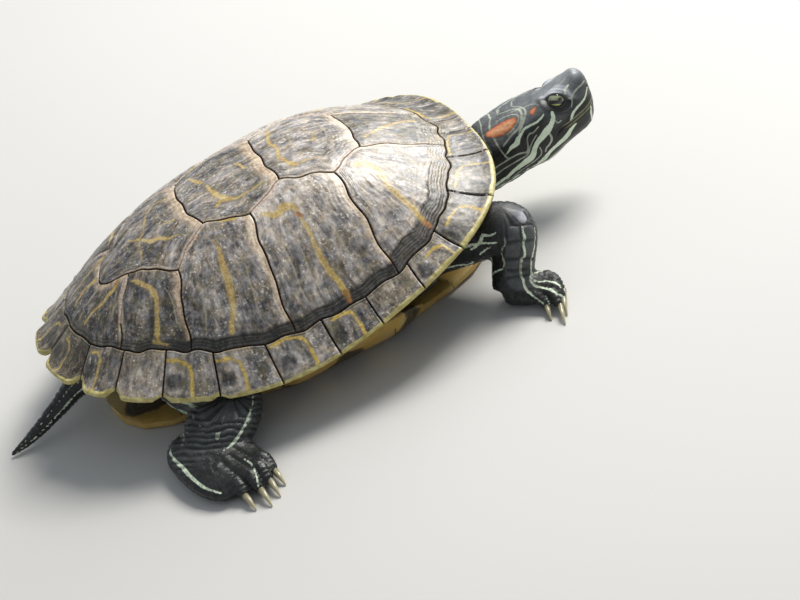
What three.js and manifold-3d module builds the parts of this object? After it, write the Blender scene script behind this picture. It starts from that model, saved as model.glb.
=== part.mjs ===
// Red-eared slider, adult female, basking: a still, life-size model.
// Millimetres. +X is forward, +Y is the animal's left, +Z is up, and the plastron lies on Z = 0.
import * as THREE from "three";
import { mergeVertices } from "three/addons/utils/BufferGeometryUtils.js";
import Module from "manifold-3d";

const wasm = await Module();
wasm.setup();

// ---- Driving sizes of the shell ----
const CARAPACE_LENGTH = 220;
const CARAPACE_HALF_WIDTH = 88;
const WIDEST_AT_X = 2.8; // the plan outline's own centre
const FRONT_SQUARENESS = 2.89; // superellipse exponents of the plan outline
const REAR_SQUARENESS = 2.1;
const SHELL_HEIGHT = 83.2;
const CROWN_SHIFT = 5.5; // the crown leans this far up towards the front
const PLATE_THICKNESS = 2.6;
const RIM_THICKNESS = 3.4;
const SEAM = 0.2; // each plate stands this far back from its seam
const REAR_NOTCH = 1.7; // depth of the notches in the rear rim
const REAR_LOBE = 3; // how far the hindmost marginals stand out beyond the plan outline
const PLASTRON_THICKNESS = 4.6;
const CORE_CLEARANCE = 0.9; // between the plates and the trunk under them
const DETAIL = 0.1; // facets flatter than this are merged
const PART_GAP = 0.32; // cut between two nodes of flesh
const MARGINAL_STEPS = 4; // sections along one marginal plate

// ---- Small helpers ----
const rad = (deg) => (deg * Math.PI) / 180;
const mix = (a, b, t) => a + (b - a) * t;
const vec = (a) => new THREE.Vector3(...a);
const clamp01 = (t) => Math.min(1, Math.max(0, t));
const smooth = (t) => clamp01(t) ** 2 * (3 - 2 * clamp01(t));

// Value of a table of [position, value] pairs, joined by straight lines.
function lookUp(rows, x) {
  if (x <= rows[0][0]) return rows[0][1];
  for (let i = 1; i < rows.length; i++) {
    const [x0, y0] = rows[i - 1];
    const [x1, y1] = rows[i];
    if (x <= x1) return mix(y0, y1, (x - x0) / (x1 - x0));
  }
  return rows[rows.length - 1][1];
}

// Catmull-Rom through equal-length rows of numbers, t from 0 to rows.length - 1.
function along(rows, t) {
  const i = Math.min(rows.length - 2, Math.max(0, Math.floor(t)));
  const f = t - i;
  const at = (k) => rows[Math.min(rows.length - 1, Math.max(0, k))];
  return rows[i].map((_, k) => {
    const [p0, p1, p2, p3] = [at(i - 1)[k], at(i)[k], at(i + 1)[k], at(i + 2)[k]];
    const a = 2 * p1;
    const b = (p2 - p0) * f;
    const c = (2 * p0 - 5 * p1 + 4 * p2 - p3) * f * f;
    const d = (3 * p1 - p0 - 3 * p2 + p3) * f * f * f;
    return (a + b + c + d) / 2;
  });
}

// A closed body from points and triangles, turned outward if it came out inward.
function body(points, triangles) {
  let volume = 0;
  for (const [a, b, c] of triangles) {
    volume += points[a].dot(new THREE.Vector3().crossVectors(points[b], points[c]));
  }
  const faces = volume < 0 ? triangles.map(([a, b, c]) => [a, c, b]) : triangles;
  const vertProperties = new Float32Array(points.flatMap((p) => [p.x, p.y, p.z]));
  return new wasm.Manifold(
    new wasm.Mesh({ numProp: 3, vertProperties, triVerts: new Uint32Array(faces.flat()) }),
  );
}

// A closed body from rings of equally many points, with a fan over each end.
function ringBody(rings) {
  const n = rings[0].length;
  const points = rings.flat();
  const triangles = [];
  for (let k = 0; k + 1 < rings.length; k++) {
    for (let i = 0; i < n; i++) {
      const j = (i + 1) % n;
      const [a, b, c, d] = [k * n + i, k * n + j, (k + 1) * n + j, (k + 1) * n + i];
      triangles.push([a, b, c], [a, c, d]);
    }
  }
  for (const [first, flip] of [[0, true], [(rings.length - 1) * n, false]]) {
    const centre = points.length;
    const sum = new THREE.Vector3();
    for (let i = 0; i < n; i++) sum.add(points[first + i]);
    points.push(sum.divideScalar(n));
    for (let i = 0; i < n; i++) {
      const [a, b] = [first + i, first + ((i + 1) % n)];
      triangles.push(flip ? [centre, b, a] : [centre, a, b]);
    }
  }
  return body(points, triangles);
}

// ---- The carapace as a surface ----
// theta is measured in plan from the front, 0 to 180 degrees, and side is -1 right or +1 left.
function rimReach(theta) {
  const c = Math.abs(Math.cos(theta));
  const s = Math.abs(Math.sin(theta));
  const front = Math.cos(theta) >= 0;
  const length = CARAPACE_LENGTH / 2 - (front ? WIDEST_AT_X : -WIDEST_AT_X);
  const n = front ? FRONT_SQUARENESS : REAR_SQUARENESS;
  return ((c / length) ** n + (s / CARAPACE_HALF_WIDTH) ** n) ** (-1 / n);
}

function rimHeight(theta) {
  return (
    37.75 + 7.44 * Math.cos(theta) + 9.48 * Math.cos(2 * theta) - 1.76 * Math.cos(3 * theta)
  );
}

// Height of the carapace over a point of the plan: a dome with a flared rim.
function domeHeight(x, y) {
  const dx = x - WIDEST_AT_X;
  const theta = Math.atan2(Math.abs(y), dx);
  const c = Math.cos(theta);
  const rho = Math.min(1, Math.hypot(dx, y) / rimReach(theta));
  const fall = 2.77 + 0.0655 * c;
  const flare = 1 / (0.676 - 0.167 * c);
  const rise = (1 - rho ** fall) ** flare;
  const lean = CROWN_SHIFT * c * rho * rise;
  return rimHeight(theta) * (1 - rise) + SHELL_HEIGHT * rise + lean;
}

function planPoint(rho, theta, side) {
  const r = rho * rimReach(theta);
  return [WIDEST_AT_X + r * Math.cos(theta), side * r * Math.sin(theta)];
}

function domeNormal(x, y) {
  const e = 0.4;
  const dx = (domeHeight(x + e, y) - domeHeight(x - e, y)) / (2 * e);
  const dy = (domeHeight(x, y + e) - domeHeight(x, y - e)) / (2 * e);
  return new THREE.Vector3(-dx, -dy, 1).normalize();
}

// A point of the dome moved inward along its normal.
function domePoint([x, y], depth) {
  const n = domeNormal(x, y);
  return new THREE.Vector3(x, y, domeHeight(x, y)).addScaledVector(n, -depth);
}

// ---- Seams ----
// Where the marginals end inward, and the seams between them (degrees from the front).
const MARGINAL_INNER_RHO = [
  [0, 0.87], [19, 0.83], [34, 0.832], [48, 0.875], [60, 0.882], [76, 0.876], [92, 0.863],
  [111, 0.856], [128, 0.842], [142, 0.835], [154, 0.847], [166, 0.865], [180, 0.87],
];
const SEAMS_INNER = [4.3, 19.4, 33.9, 48, 60.1, 75.8, 91.8, 111.5, 127.6, 141.9, 154.5, 166.5, 180];
const SEAMS_OUTER = [3.8, 15.4, 33, 49.4, 62.7, 76.5, 90.7, 108.6, 125.7, 140.6, 153, 163.9, 180];
const COSTAL_SEAMS = [12, 63.8, 101, 133.7, 156]; // at the marginals

// Corners where the vertebral plates meet the costals: distance forward and to the side.
const V12 = [55, 18.9];
const V2_POINT = [38.5, 31.9];
const V23 = [15.6, 23.3];
const V3_POINT = [-3.5, 31.9];
const V34 = [-23.8, 21.6];
const V4_POINT = [-43.1, 33.4];
const V45 = [-62.3, 14.1];
const V45_MIDDLE_X = -75;

// Degrees count from the front towards the given side; negative ones lie on the other side.
function innerEdge(degrees, side) {
  const angle = Math.abs(degrees);
  const rho = lookUp(MARGINAL_INNER_RHO, angle);
  return planPoint(rho, rad(angle), degrees < 0 ? -side : side);
}

// Points spread evenly over a chain of corners, keeping every corner.
function chain(corners, perLeg) {
  const out = [corners[0]];
  for (let k = 1; k < corners.length; k++) {
    for (let i = 1; i <= perLeg; i++) {
      const t = i / perLeg;
      out.push([
        mix(corners[k - 1][0], corners[k][0], t),
        mix(corners[k - 1][1], corners[k][1], t),
      ]);
    }
  }
  return out;
}

function arc(from, to, steps, side) {
  const out = [];
  for (let i = 0; i <= steps; i++) out.push(innerEdge(mix(from, to, i / steps), side));
  return out;
}

// Plan grid filled in from four sides: top and bottom run one way, start and end the other.
function coons(bottom, top, start, end) {
  const m = bottom.length - 1;
  const n = start.length - 1;
  const grid = [];
  for (let j = 0; j <= n; j++) {
    const v = j / n;
    const row = [];
    for (let i = 0; i <= m; i++) {
      const u = i / m;
      const p = [0, 1].map((k) => {
        const ruled = mix(bottom[i][k], top[i][k], v) + mix(start[j][k], end[j][k], u);
        const low = mix(bottom[0][k], bottom[m][k], u);
        const high = mix(top[0][k], top[m][k], u);
        return ruled - mix(low, high, v);
      });
      row.push(p);
    }
    grid.push(row);
  }
  return grid;
}

// Moves the border of a plan grid inward by the seam's half width.
function inset(grid, by) {
  const n = grid.length - 1;
  const m = grid[0].length - 1;
  const loop = [];
  for (let i = 0; i < m; i++) loop.push([0, i]);
  for (let j = 0; j < n; j++) loop.push([j, m]);
  for (let i = m; i > 0; i--) loop.push([n, i]);
  for (let j = n; j > 0; j--) loop.push([j, 0]);
  const at = ([j, i]) => grid[j][i];
  let area = 0;
  loop.forEach((q, k) => {
    const [a, b] = [at(q), at(loop[(k + 1) % loop.length])];
    area += a[0] * b[1] - a[1] * b[0];
  });
  const turn = Math.sign(area);
  const moved = loop.map((q, k) => {
    const [a, b, c] = [
      at(loop[(k + loop.length - 1) % loop.length]),
      at(q),
      at(loop[(k + 1) % loop.length]),
    ];
    const e0 = Math.hypot(b[0] - a[0], b[1] - a[1]) || 1;
    const e1 = Math.hypot(c[0] - b[0], c[1] - b[1]) || 1;
    const n0 = [(-turn * (b[1] - a[1])) / e0, (turn * (b[0] - a[0])) / e0];
    const n1 = [(-turn * (c[1] - b[1])) / e1, (turn * (c[0] - b[0])) / e1];
    const bend = Math.max(0.12, 1 + n0[0] * n1[0] + n0[1] * n1[1]);
    return [b[0] + (by * (n0[0] + n1[0])) / bend, b[1] + (by * (n0[1] + n1[1])) / bend];
  });
  loop.forEach(([j, i], k) => {
    grid[j][i] = moved[k];
  });
  return grid;
}

// A plate of the dome over a plan grid, of even thickness.
function plate(grid, thickness) {
  const n = grid.length - 1;
  const m = grid[0].length - 1;
  const points = [];
  for (const depth of [0, thickness]) {
    for (const row of grid) for (const p of row) points.push(domePoint(p, depth));
  }
  const under = (n + 1) * (m + 1);
  const id = (j, i) => j * (m + 1) + i;
  const triangles = [];
  for (let j = 0; j < n; j++) {
    for (let i = 0; i < m; i++) {
      const [a, b, c, d] = [id(j, i), id(j, i + 1), id(j + 1, i + 1), id(j + 1, i)];
      triangles.push([a, b, c], [a, c, d]);
      triangles.push([under + a, under + c, under + b], [under + a, under + d, under + c]);
    }
  }
  const wall = (a, b) => triangles.push([a, under + a, b], [b, under + a, under + b]);
  for (let i = 0; i < m; i++) {
    wall(id(0, i), id(0, i + 1));
    wall(id(n, i + 1), id(n, i));
  }
  for (let j = 0; j < n; j++) {
    wall(id(j, m), id(j + 1, m));
    wall(id(j + 1, 0), id(j, 0));
  }
  return body(points, triangles);
}

// ---- Plates ----
function costal(index, side) {
  const tops = [
    [V12, V2_POINT],
    [V2_POINT, V23, V3_POINT],
    [V3_POINT, V34, V4_POINT],
    [V4_POINT, V45],
  ][index].map(([x, y]) => [x, side * y]);
  const legs = tops.length - 1;
  const across = 6;
  const bottom = arc(COSTAL_SEAMS[index], COSTAL_SEAMS[index + 1], across, side);
  const top = chain(tops, across / legs);
  const start = chain([bottom[0], top[0]], 5);
  const end = chain([bottom[across], top[across]], 5);
  return plate(inset(coons(bottom, top, start, end), SEAM), PLATE_THICKNESS);
}

// The seam in front of a vertebral plate, from right to left.
function crossSeam(index, steps) {
  if (index === 0) return arc(-COSTAL_SEAMS[0], COSTAL_SEAMS[0], steps, 1);
  if (index === 5) {
    const out = [];
    const last = COSTAL_SEAMS[4];
    for (let i = 0; i <= steps; i++) {
      const degrees = mix(last, 360 - last, 1 - i / steps);
      out.push(innerEdge(degrees > 180 ? degrees - 360 : degrees, 1));
    }
    return out.reverse().map(([x, y]) => [x, -y]);
  }
  const [x, y] = [V12, V23, V34, V45][index - 1];
  const bow = [2.5, -1, -3, V45_MIDDLE_X - V45[0]][index - 1];
  const out = [];
  for (let i = 0; i <= steps; i++) {
    const u = mix(-1, 1, i / steps);
    out.push([x + bow * (1 - u * u), y * u]);
  }
  return out;
}

function vertebral(index) {
  const front = crossSeam(index, 6);
  const rear = crossSeam(index + 1, 6);
  const point = [null, V2_POINT, V3_POINT, V4_POINT, null][index];
  const side = (i, sign) =>
    point
      ? chain([rear[i], [point[0], sign * point[1]], front[i]], 2)
      : chain([rear[i], front[i]], 4);
  return plate(inset(coons(rear, front, side(0, -1), side(6, 1)), SEAM), PLATE_THICKNESS);
}

// Section of a marginal, from its inner top edge over the rim to its inner underside edge:
// [share of the way from the inner edge out to the rim, depth below the dome].
const RIM_SECTION = [
  [0, 0], [0.35, 0], [0.7, 0], [0.93, 0.1], [1, 1.3], [0.93, RIM_THICKNESS - 0.4],
  [0.6, RIM_THICKNESS], [0, RIM_THICKNESS + 0.3],
];

// How far the rear rim stands out from the plan outline: lobes with a notch where two plates meet.
function rimLobe(degrees, share) {
  const angle = Math.abs(degrees);
  const near = Math.min(...SEAMS_OUTER.slice(8).map((s) => Math.abs(angle - s)));
  const lobe = REAR_LOBE * smooth((angle - 140) / 25) * smooth(near / 4);
  const notch = REAR_NOTCH * smooth((angle - 115) / 20) * smooth(1 - near / 2.6);
  return (lobe - notch) * smooth((share - 0.45) / 0.5);
}

function marginal(from, to, innerFrom, innerTo, side, steps) {
  const rings = [];
  for (let i = 0; i <= steps; i++) {
    const t = i / steps;
    const outer = mix(from, to, t);
    const inner = mix(innerFrom, innerTo, t);
    const a = innerEdge(inner, side);
    const b = planPoint(1, rad(Math.abs(outer)), outer < 0 ? -side : side);
    const ring = RIM_SECTION.map(([share, depth]) => {
      const out = share + rimLobe(outer, share) / Math.hypot(b[0] - a[0], b[1] - a[1]);
      return domePoint([mix(a[0], b[0], out), mix(a[1], b[1], out)], depth);
    });
    rings.push(ring);
  }
  // the seams' half width off each end and off the inner edge
  const squeeze = (ring, toward) =>
    ring.map((p, k) => p.clone().addScaledVector(toward[k].clone().sub(p).normalize(), SEAM));
  const first = squeeze(rings[0], rings[1]);
  const last = squeeze(rings[steps], rings[steps - 1]);
  rings[0] = first;
  rings[steps] = last;
  for (const ring of rings) {
    const out = ring[1].clone().sub(ring[0]).normalize();
    ring[0].addScaledVector(out, 2 * SEAM);
    ring[ring.length - 1].addScaledVector(out, 2 * SEAM);
  }
  return ringBody(rings);
}

// ---- Plastron with its bridges ----
const PLASTRON_LOBES = [
  [-94, 9], [-92, 20], [-86, 31], [-74, 39], [-58, 43], [-44, 46], [-30, 49], [0, 50], [30, 50],
  [52, 49], [66, 45], [80, 39], [90, 30], [95, 18], [96.5, 8],
];
const BRIDGE_X = [-34, 50];
const BRIDGE_TOP_Y = 75;
const BRIDGE_TOP_Z = 21.5;

function plastron() {
  const count = 26;
  const section = (x) => {
    const w = lookUp(PLASTRON_LOBES, x);
    const rise = 1.6;
    return [
      [w - 2.6, 0], [w, rise], [w - 0.6, PLASTRON_THICKNESS - 0.8], [w - 4, PLASTRON_THICKNESS],
      [-w + 4, PLASTRON_THICKNESS], [-w + 0.6, PLASTRON_THICKNESS - 0.8], [-w, rise],
      [-w + 2.6, 0],
    ].map(([y, z]) => new THREE.Vector3(x, y, z));
  };
  const rings = [];
  for (let i = 0; i <= count; i++) {
    const u = -Math.cos((Math.PI * i) / count);
    rings.push(section(mix(-94, 96.5, (u + 1) / 2)));
  }
  let made = ringBody(rings);
  for (const side of [-1, 1]) {
    const strips = [];
    for (let i = 0; i <= 8; i++) {
      const t = i / 8;
      const edge = smooth(Math.min(t, 1 - t) / 0.22);
      const x = mix(BRIDGE_X[0], BRIDGE_X[1], t);
      const low = mix(46, 44, edge);
      const y = mix(53, BRIDGE_TOP_Y, edge);
      const z = mix(7, BRIDGE_TOP_Z, edge);
      const section = [
        [low, 1.2], [mix(50, 54, edge), 1.6], [mix(52, 66, edge), mix(4, 8.6, edge)],
        [y, z], [y - 2.4, z + 0.8], [mix(50, 62, edge), mix(6, 11.4, edge)],
        [mix(48, 52, edge), 4.4], [low - 1, 3.4],
      ];
      strips.push(section.map(([py, pz]) => new THREE.Vector3(x, side * py, pz)));
    }
    made = made.add(ringBody(strips));
  }
  return made;
}

// ---- Trunk: the body inside the shell, seen in the openings round the limbs ----
const TRUNK_SIDES = 44;
const TRUNK_LEVELS = [0, 0.16, 0.45, 0.8, 1]; // shares of the way up from the plastron to the roof
const ROOF_REACH = 0.8; // share of the rim's reach at which the walls meet the roof
const ROOF_REACHES = [0.74, 0.6, 0.42, 0.2];
const FLOOR_CLEARANCE = 0.35; // over the plastron
const BRIDGE_CENTRE = 87; // degrees from the front; the trunk's walls draw in at the bridges
const BRIDGE_SPREAD = 38;
const BRIDGE_BLEND = 12;

// Reach of the trunk's wall at a level, with the bridge's share of the pull inward.
function trunkReach(level, bridge) {
  const foot = mix(0.6, 0.47, bridge);
  const shoulder = mix(0.7, 0.56, bridge);
  return lookUp([[0, foot], [0.16, shoulder], [0.45, 0.765], [1, ROOF_REACH]], level);
}

function trunkRing(pointAt) {
  const ring = [];
  for (let i = 0; i < TRUNK_SIDES; i++) {
    const a = (2 * Math.PI * i) / TRUNK_SIDES;
    ring.push(a < Math.PI ? pointAt(a, 1) : pointAt(2 * Math.PI - a, -1));
  }
  return ring;
}

// The trunk, larger all round by grow.
function trunk(grow) {
  const floor = PLASTRON_THICKNESS + FLOOR_CLEARANCE - grow;
  const roofGap = RIM_THICKNESS + CORE_CLEARANCE + 1;
  const walls = TRUNK_LEVELS.map((level) =>
    trunkRing((theta, side) => {
      const off = Math.abs(THREE.MathUtils.radToDeg(theta) - BRIDGE_CENTRE);
      const bridge = smooth((BRIDGE_SPREAD - off) / BRIDGE_BLEND);
      const [x, y] = planPoint(trunkReach(level, bridge), theta, side);
      const reach = Math.hypot(x - WIDEST_AT_X, y);
      const out = (reach + grow) / reach;
      const roof = domeHeight(...planPoint(ROOF_REACH, theta, side)) - roofGap;
      const z = mix(floor, roof, level);
      return new THREE.Vector3(WIDEST_AT_X + (x - WIDEST_AT_X) * out, y * out, z);
    }),
  );
  const depth = PLATE_THICKNESS + CORE_CLEARANCE - grow;
  const roofs = ROOF_REACHES.map((share) =>
    trunkRing((theta, side) => domePoint(planPoint(share, theta, side), depth)),
  );
  return ringBody([...walls, ...roofs]);
}

// ---- Limbs, neck and tail: tubes along a path ----
// Each station is [x, y, z, half width, half height]; wide is the direction of the width.
function tube(stations, wide, rings, sides, squareness = 2.2) {
  const last = stations.length - 1;
  const centre = (t) => vec(along(stations, t));
  const made = [];
  const wideVec = vec(wide).normalize();
  for (let k = 0; k <= rings; k++) {
    const t = (last * k) / rings;
    const [x, y, z, w, h] = along(stations, t);
    const e = 0.05;
    const ahead = centre(Math.min(last, t + e)).sub(centre(Math.max(0, t - e))).normalize();
    const across = wideVec.clone().addScaledVector(ahead, -wideVec.dot(ahead)).normalize();
    const up = new THREE.Vector3().crossVectors(across, ahead).normalize();
    const ring = [];
    for (let i = 0; i < sides; i++) {
      const a = (2 * Math.PI * i) / sides;
      const c = Math.cos(a);
      const s = Math.sin(a);
      const pull = (Math.abs(c) ** squareness + Math.abs(s) ** squareness) ** (-1 / squareness);
      ring.push(
        new THREE.Vector3(x, y, z)
          .addScaledVector(across, w * c * pull)
          .addScaledVector(up, h * s * pull),
      );
    }
    made.push(ring);
  }
  return ringBody(made);
}

// A toe with its claw: base, knuckle, claw root and claw tip.
function toe(base, knuckle, root, tip, width, clawWidth) {
  const middle = (a, b, t) => a.map((v, i) => mix(v, b[i], t));
  const flesh = tube(
    [
      [...base, width * 1.1, width * 0.9],
      [...knuckle, width, width * 0.95],
      [...middle(knuckle, root, 0.6), width * 0.86, width * 0.8],
      [...root, width * 0.6, width * 0.55],
    ],
    [knuckle[1] - tip[1], tip[0] - knuckle[0], 0],
    4,
    7,
  );
  const bend = middle(root, tip, 0.5);
  bend[2] += 0.9;
  const claw = tube(
    [
      [...middle(knuckle, root, 0.85), clawWidth * 0.9, clawWidth * 0.9],
      [...root, clawWidth, clawWidth],
      [...bend, clawWidth * 0.72, clawWidth * 0.75],
      [...tip, 0.32, 0.32],
    ],
    [knuckle[1] - tip[1], tip[0] - knuckle[0], 0],
    3,
    5,
  );
  return flesh.add(claw);
}

// Lands a limb on the other side, swung about the upright line through its root.
function placed(solid, side, root, swing) {
  const turned = solid
    .translate([-root[0], -root[1], 0])
    .rotate([0, 0, swing])
    .translate([root[0], root[1], 0]);
  return side < 0 ? turned : turned.mirror([0, 1, 0]);
}

// A plane through a point that parts a limb; keep is +1 beyond it or -1 before it.
function cut(solid, point, normal, keep) {
  const n = vec(normal).normalize();
  const offset = n.dot(vec(point)) + (keep * PART_GAP) / 2;
  return keep > 0
    ? solid.trimByPlane([n.x, n.y, n.z], offset)
    : solid.trimByPlane([-n.x, -n.y, -n.z], -offset);
}

const FLOOR_CUT = [[0, 0, 1], 0.02];

// Right fore limb.
const SHOULDER = [66, -36, 24];
const ELBOW = [97, -66, 27];
const WRIST = [86.5, -73, 9];
function foreLimb() {
  const upperArm = tube(
    [
      [...SHOULDER, 13, 15], [78, -47, 27, 12.6, 14], [89, -58, 30, 12, 12.8],
      [97, -66.5, 30.6, 11.4, 12.2], [102.4, -72, 30, 7.5, 8.5],
    ],
    [0.72, 0.4, -0.4],
    10,
    12,
  );
  const forearm = tube(
    [
      [98.5, -64.5, 38, 6, 6], [97, -66.5, 31, 11, 11.6], [93.6, -69, 20, 9.6, 10.4],
      [89.2, -71.5, 12.5, 9, 9], [85.4, -74, 6, 9, 8],
    ],
    [0.72, 0.2, -0.5],
    10,
    12,
  );
  const palm = tube(
    [
      [84.5, -71, 7, 7, 7], [87.5, -73.5, 6.6, 9, 6.8], [91, -77, 6.3, 9.2, 6.2],
      [95, -80.6, 6.2, 9.4, 5.6], [98.2, -84, 6, 10, 4.8], [100, -86.4, 5.6, 9, 3.8],
    ],
    [0.62, 0.78, 0.08],
    7,
    12,
  );
  let hand = palm;
  const toes = [
    [[95, -77, 7], [102.2, -79, 8], [105, -83.2, 4], [103.4, -89, 0.5]],
    [[96, -80, 7], [102.8, -84, 8], [104.4, -89.6, 4], [102, -96, 0.5]],
    [[96, -83, 6.6], [101.4, -88.8, 7.4], [101.8, -95.2, 3.8], [99, -102.8, 0.5]],
    [[95, -85, 6], [98.6, -91.6, 6.6], [98.4, -98.8, 3.6], [95.4, -108.4, 0.5]],
    [[92.8, -83.6, 5.4], [94.2, -89, 5.4], [93.8, -94, 3.2], [92, -100.6, 0.5]],
  ];
  for (const [base, knuckle, root, tip] of toes) {
    hand = hand.add(toe(base, knuckle, root, tip, 3.1, 1.35));
  }
  return { upperArm, forearm, hand };
}

// Right hind limb.
const HIP = [-56, -28, 22];
const KNEE = [-47, -62, 19];
const ANKLE = [-70, -76, 10.5];
function hindLimb() {
  const thigh = tube(
    [
      [...HIP, 19, 12.5], [-54, -43, 21, 20, 12.5], [-49, -57, 19.5, 18.5, 12],
      [-46, -67, 17.5, 14.5, 11], [-45, -73, 15.5, 8, 7],
    ],
    [1, 0.1, 0],
    9,
    13,
  );
  const shank = tube(
    [
      [-40, -58, 20, 9, 8], [-47, -64.5, 18, 15, 11.5], [-55.5, -72, 14, 17, 10.4],
      [-65.5, -77.5, 10, 14.5, 8.4], [-73, -80, 7.6, 10, 6.8],
    ],
    [1, -0.5, 0],
    9,
    13,
  );
  const sole = tube(
    [
      [-76.5, -66, 7, 7, 6.4], [-75, -73, 7.4, 11.5, 7], [-70.5, -83, 7, 15.5, 6.4],
      [-65.5, -94, 6, 17.6, 5.6], [-61.6, -104, 5, 16, 4.6], [-59.5, -109, 4.2, 12, 3.6],
    ],
    [0.9, 0.42, 0.06],
    8,
    14,
  );
  let foot = sole;
  const toes = [
    [[-54, -95, 6], [-49.5, -103, 7], [-47.6, -110.5, 3.6], [-46.6, -119, 0.5]],
    [[-57, -98, 6], [-53, -108, 7.4], [-51.6, -116, 3.8], [-51.2, -125, 0.5]],
    [[-61.5, -101, 6], [-58.2, -111, 7], [-57, -118.6, 3.8], [-56.4, -128.4, 0.5]],
    [[-66, -101, 5.4], [-64.5, -110, 6], [-64, -116.5, 3.4], [-63, -125.5, 0.5]],
  ];
  for (const [base, knuckle, root, tip] of toes) {
    foot = foot.add(toe(base, knuckle, root, tip, 3.8, 1.6));
  }
  const small = tube(
    [[-70, -96, 5, 4.5, 4], [-71.5, -103, 4.2, 4, 3.4], [-71.5, -108, 3.2, 2.6, 2.2]],
    [1, 0, 0],
    3,
    7,
  );
  return { thigh, shank, foot: foot.add(small) };
}

// ---- Head ----
const HEAD_ORIGIN = [124.4, -6, 36.4];
const HEAD_YAW = -14;
const HEAD_PITCH = 18;
const headFrame = new THREE.Matrix4()
  .makeRotationZ(rad(HEAD_YAW))
  .multiply(new THREE.Matrix4().makeRotationY(-rad(HEAD_PITCH)))
  .setPosition(...HEAD_ORIGIN);
const inHead = (forward, left, up) => new THREE.Vector3(forward, left, up).applyMatrix4(headFrame);

// Sections of head and upper neck: [forward, half width, top, bottom, height of the widest line,
// squareness above, squareness below].
const HEAD_SECTIONS = [
  [-18, 15, 14.8, -16.4, -0.4, 2.1, 2.1],
  [-8, 15.3, 15, -16.8, -0.4, 2.3, 2.1],
  [2, 15.6, 14.6, -17.4, -0.4, 2.5, 2.2],
  [10, 15.2, 13.8, -19, -1, 2.8, 2.3],
  [17, 14.2, 12.1, -18.4, -1.6, 3, 2.5],
  [24, 13, 10.8, -16.9, -2, 2.95, 2.8],
  [30, 11.9, 10.9, -16.4, -1.5, 2.5, 3],
  [35, 10.4, 11.2, -16.8, -2, 2.1, 2.8],
  [39, 8.7, 11.2, -17, -2.5, 2.25, 2.7],
  [42.2, 6.8, 9.2, -15.9, -2.5, 2.4, 2.5],
  [44.3, 4.5, 6.2, -13.2, -2.5, 2.3, 2.2],
  [45.3, 2.4, 2.2, -8.6, -3, 2.2, 2.1],
];
const SNOUT_LEAN = 0.34; // the front sections lean forward, so the chin lies behind the snout
const HEAD_RINGS = 21;
const HEAD_SIDES = 20;
const EYE_CENTRE = [29.9, 5.6, 5.5]; // forward, to the side, up in the head's frame
const EYE_RADIUS = 4.6;
const EYE_CLEARANCE = 0.3;
const BALL_SEGMENTS = 16;

function headSolid() {
  const rings = [];
  const last = HEAD_SECTIONS.length - 1;
  for (let k = 0; k <= HEAD_RINGS; k++) {
    const [f, w, top, bottom, middle, nTop, nLow] = along(HEAD_SECTIONS, (last * k) / HEAD_RINGS);
    const ring = [];
    for (let i = 0; i < HEAD_SIDES; i++) {
      const a = (2 * Math.PI * i) / HEAD_SIDES;
      const c = Math.cos(a);
      const s = Math.sin(a);
      const n = s > 0 ? nTop : nLow;
      const pull = (Math.abs(c) ** n + Math.abs(s) ** n) ** (-1 / n);
      const height = s > 0 ? top - middle : middle - bottom;
      const z = middle + height * s * pull;
      ring.push(inHead(f + SNOUT_LEAN * smooth((f - 8) / 30) * z, w * c * pull, z));
    }
    rings.push(ring);
  }
  return ringBody(rings);
}

function ball(centre, radius) {
  const sphere = new THREE.SphereGeometry(radius, BALL_SEGMENTS, BALL_SEGMENTS / 2);
  sphere.deleteAttribute("normal");
  sphere.deleteAttribute("uv");
  const closed = mergeVertices(sphere.translate(centre.x, centre.y, centre.z));
  const place = closed.getAttribute("position");
  const points = [];
  for (let i = 0; i < place.count; i++) {
    points.push(new THREE.Vector3().fromBufferAttribute(place, i));
  }
  const triangles = [];
  for (let i = 0; i < closed.index.count; i += 3) {
    triangles.push([closed.index.getX(i), closed.index.getX(i + 1), closed.index.getX(i + 2)]);
  }
  return body(points, triangles);
}

// The lower jaw: what lies under the mouth line and before the jaw's joint.
const MOUTH_LINE = [[60, -13.2], [41.4, -9.4], [32, -7.6], [21, -5.6]];
const JAW_REAR = 17;
const JAW_DEPTH = 22;
const JAW_REACH = 20;
function jawRegion(gap) {
  const corner = MOUTH_LINE.length - 1;
  const line = MOUTH_LINE.map(([f, z], i) => [i === corner ? f + gap : f, z - gap]);
  const outline = [...line, [JAW_REAR + gap, -JAW_DEPTH], [MOUTH_LINE[0][0], -JAW_DEPTH]];
  const points = [];
  for (const y of [-JAW_REACH, JAW_REACH]) {
    for (const [f, z] of outline) points.push(inHead(f, y, z));
  }
  const n = outline.length;
  const triangles = [];
  for (let i = 0; i < n; i++) {
    const j = (i + 1) % n;
    triangles.push([i, j, n + j], [i, n + j, n + i]);
  }
  const cap = THREE.ShapeUtils.triangulateShape(
    outline.map(([f, z]) => new THREE.Vector2(f, z)),
    [],
  );
  for (const [a, b, c] of cap) {
    triangles.push([a, c, b], [n + a, n + b, n + c]);
  }
  return body(points, triangles);
}

// ---- Neck and tail ----
const NECK_PATH = [
  [82, 1, 26.4, 16, 16], [94, 0.4, 27.6, 15.5, 15.8], [104, -1.3, 29.6, 15.2, 15.7],
  [113.4, -3.4, 32.3, 15.1, 15.7],
];
const TAIL_PATH = [
  [-80, 0, 22, 11, 11], [-93, 1, 21.5, 9, 9], [-103.5, 1, 19, 6, 6],
  [-114.5, 0.4, 13.6, 4.4, 4.6], [-126.5, 0, 8, 3.4, 3.5], [-137, 0, 3.8, 2.2, 2.3],
  [-144.6, 0.6, 1.5, 0.9, 1.1],
];

// ---- Assembly ----
const COLOURS = {
  carapace: 0x6d6a58, marginal: 0x77786c, plastron: 0xcdb45c, skin: 0x2c302a, eye: 0xa9b26a,
};
const group = new THREE.Group();

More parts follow.
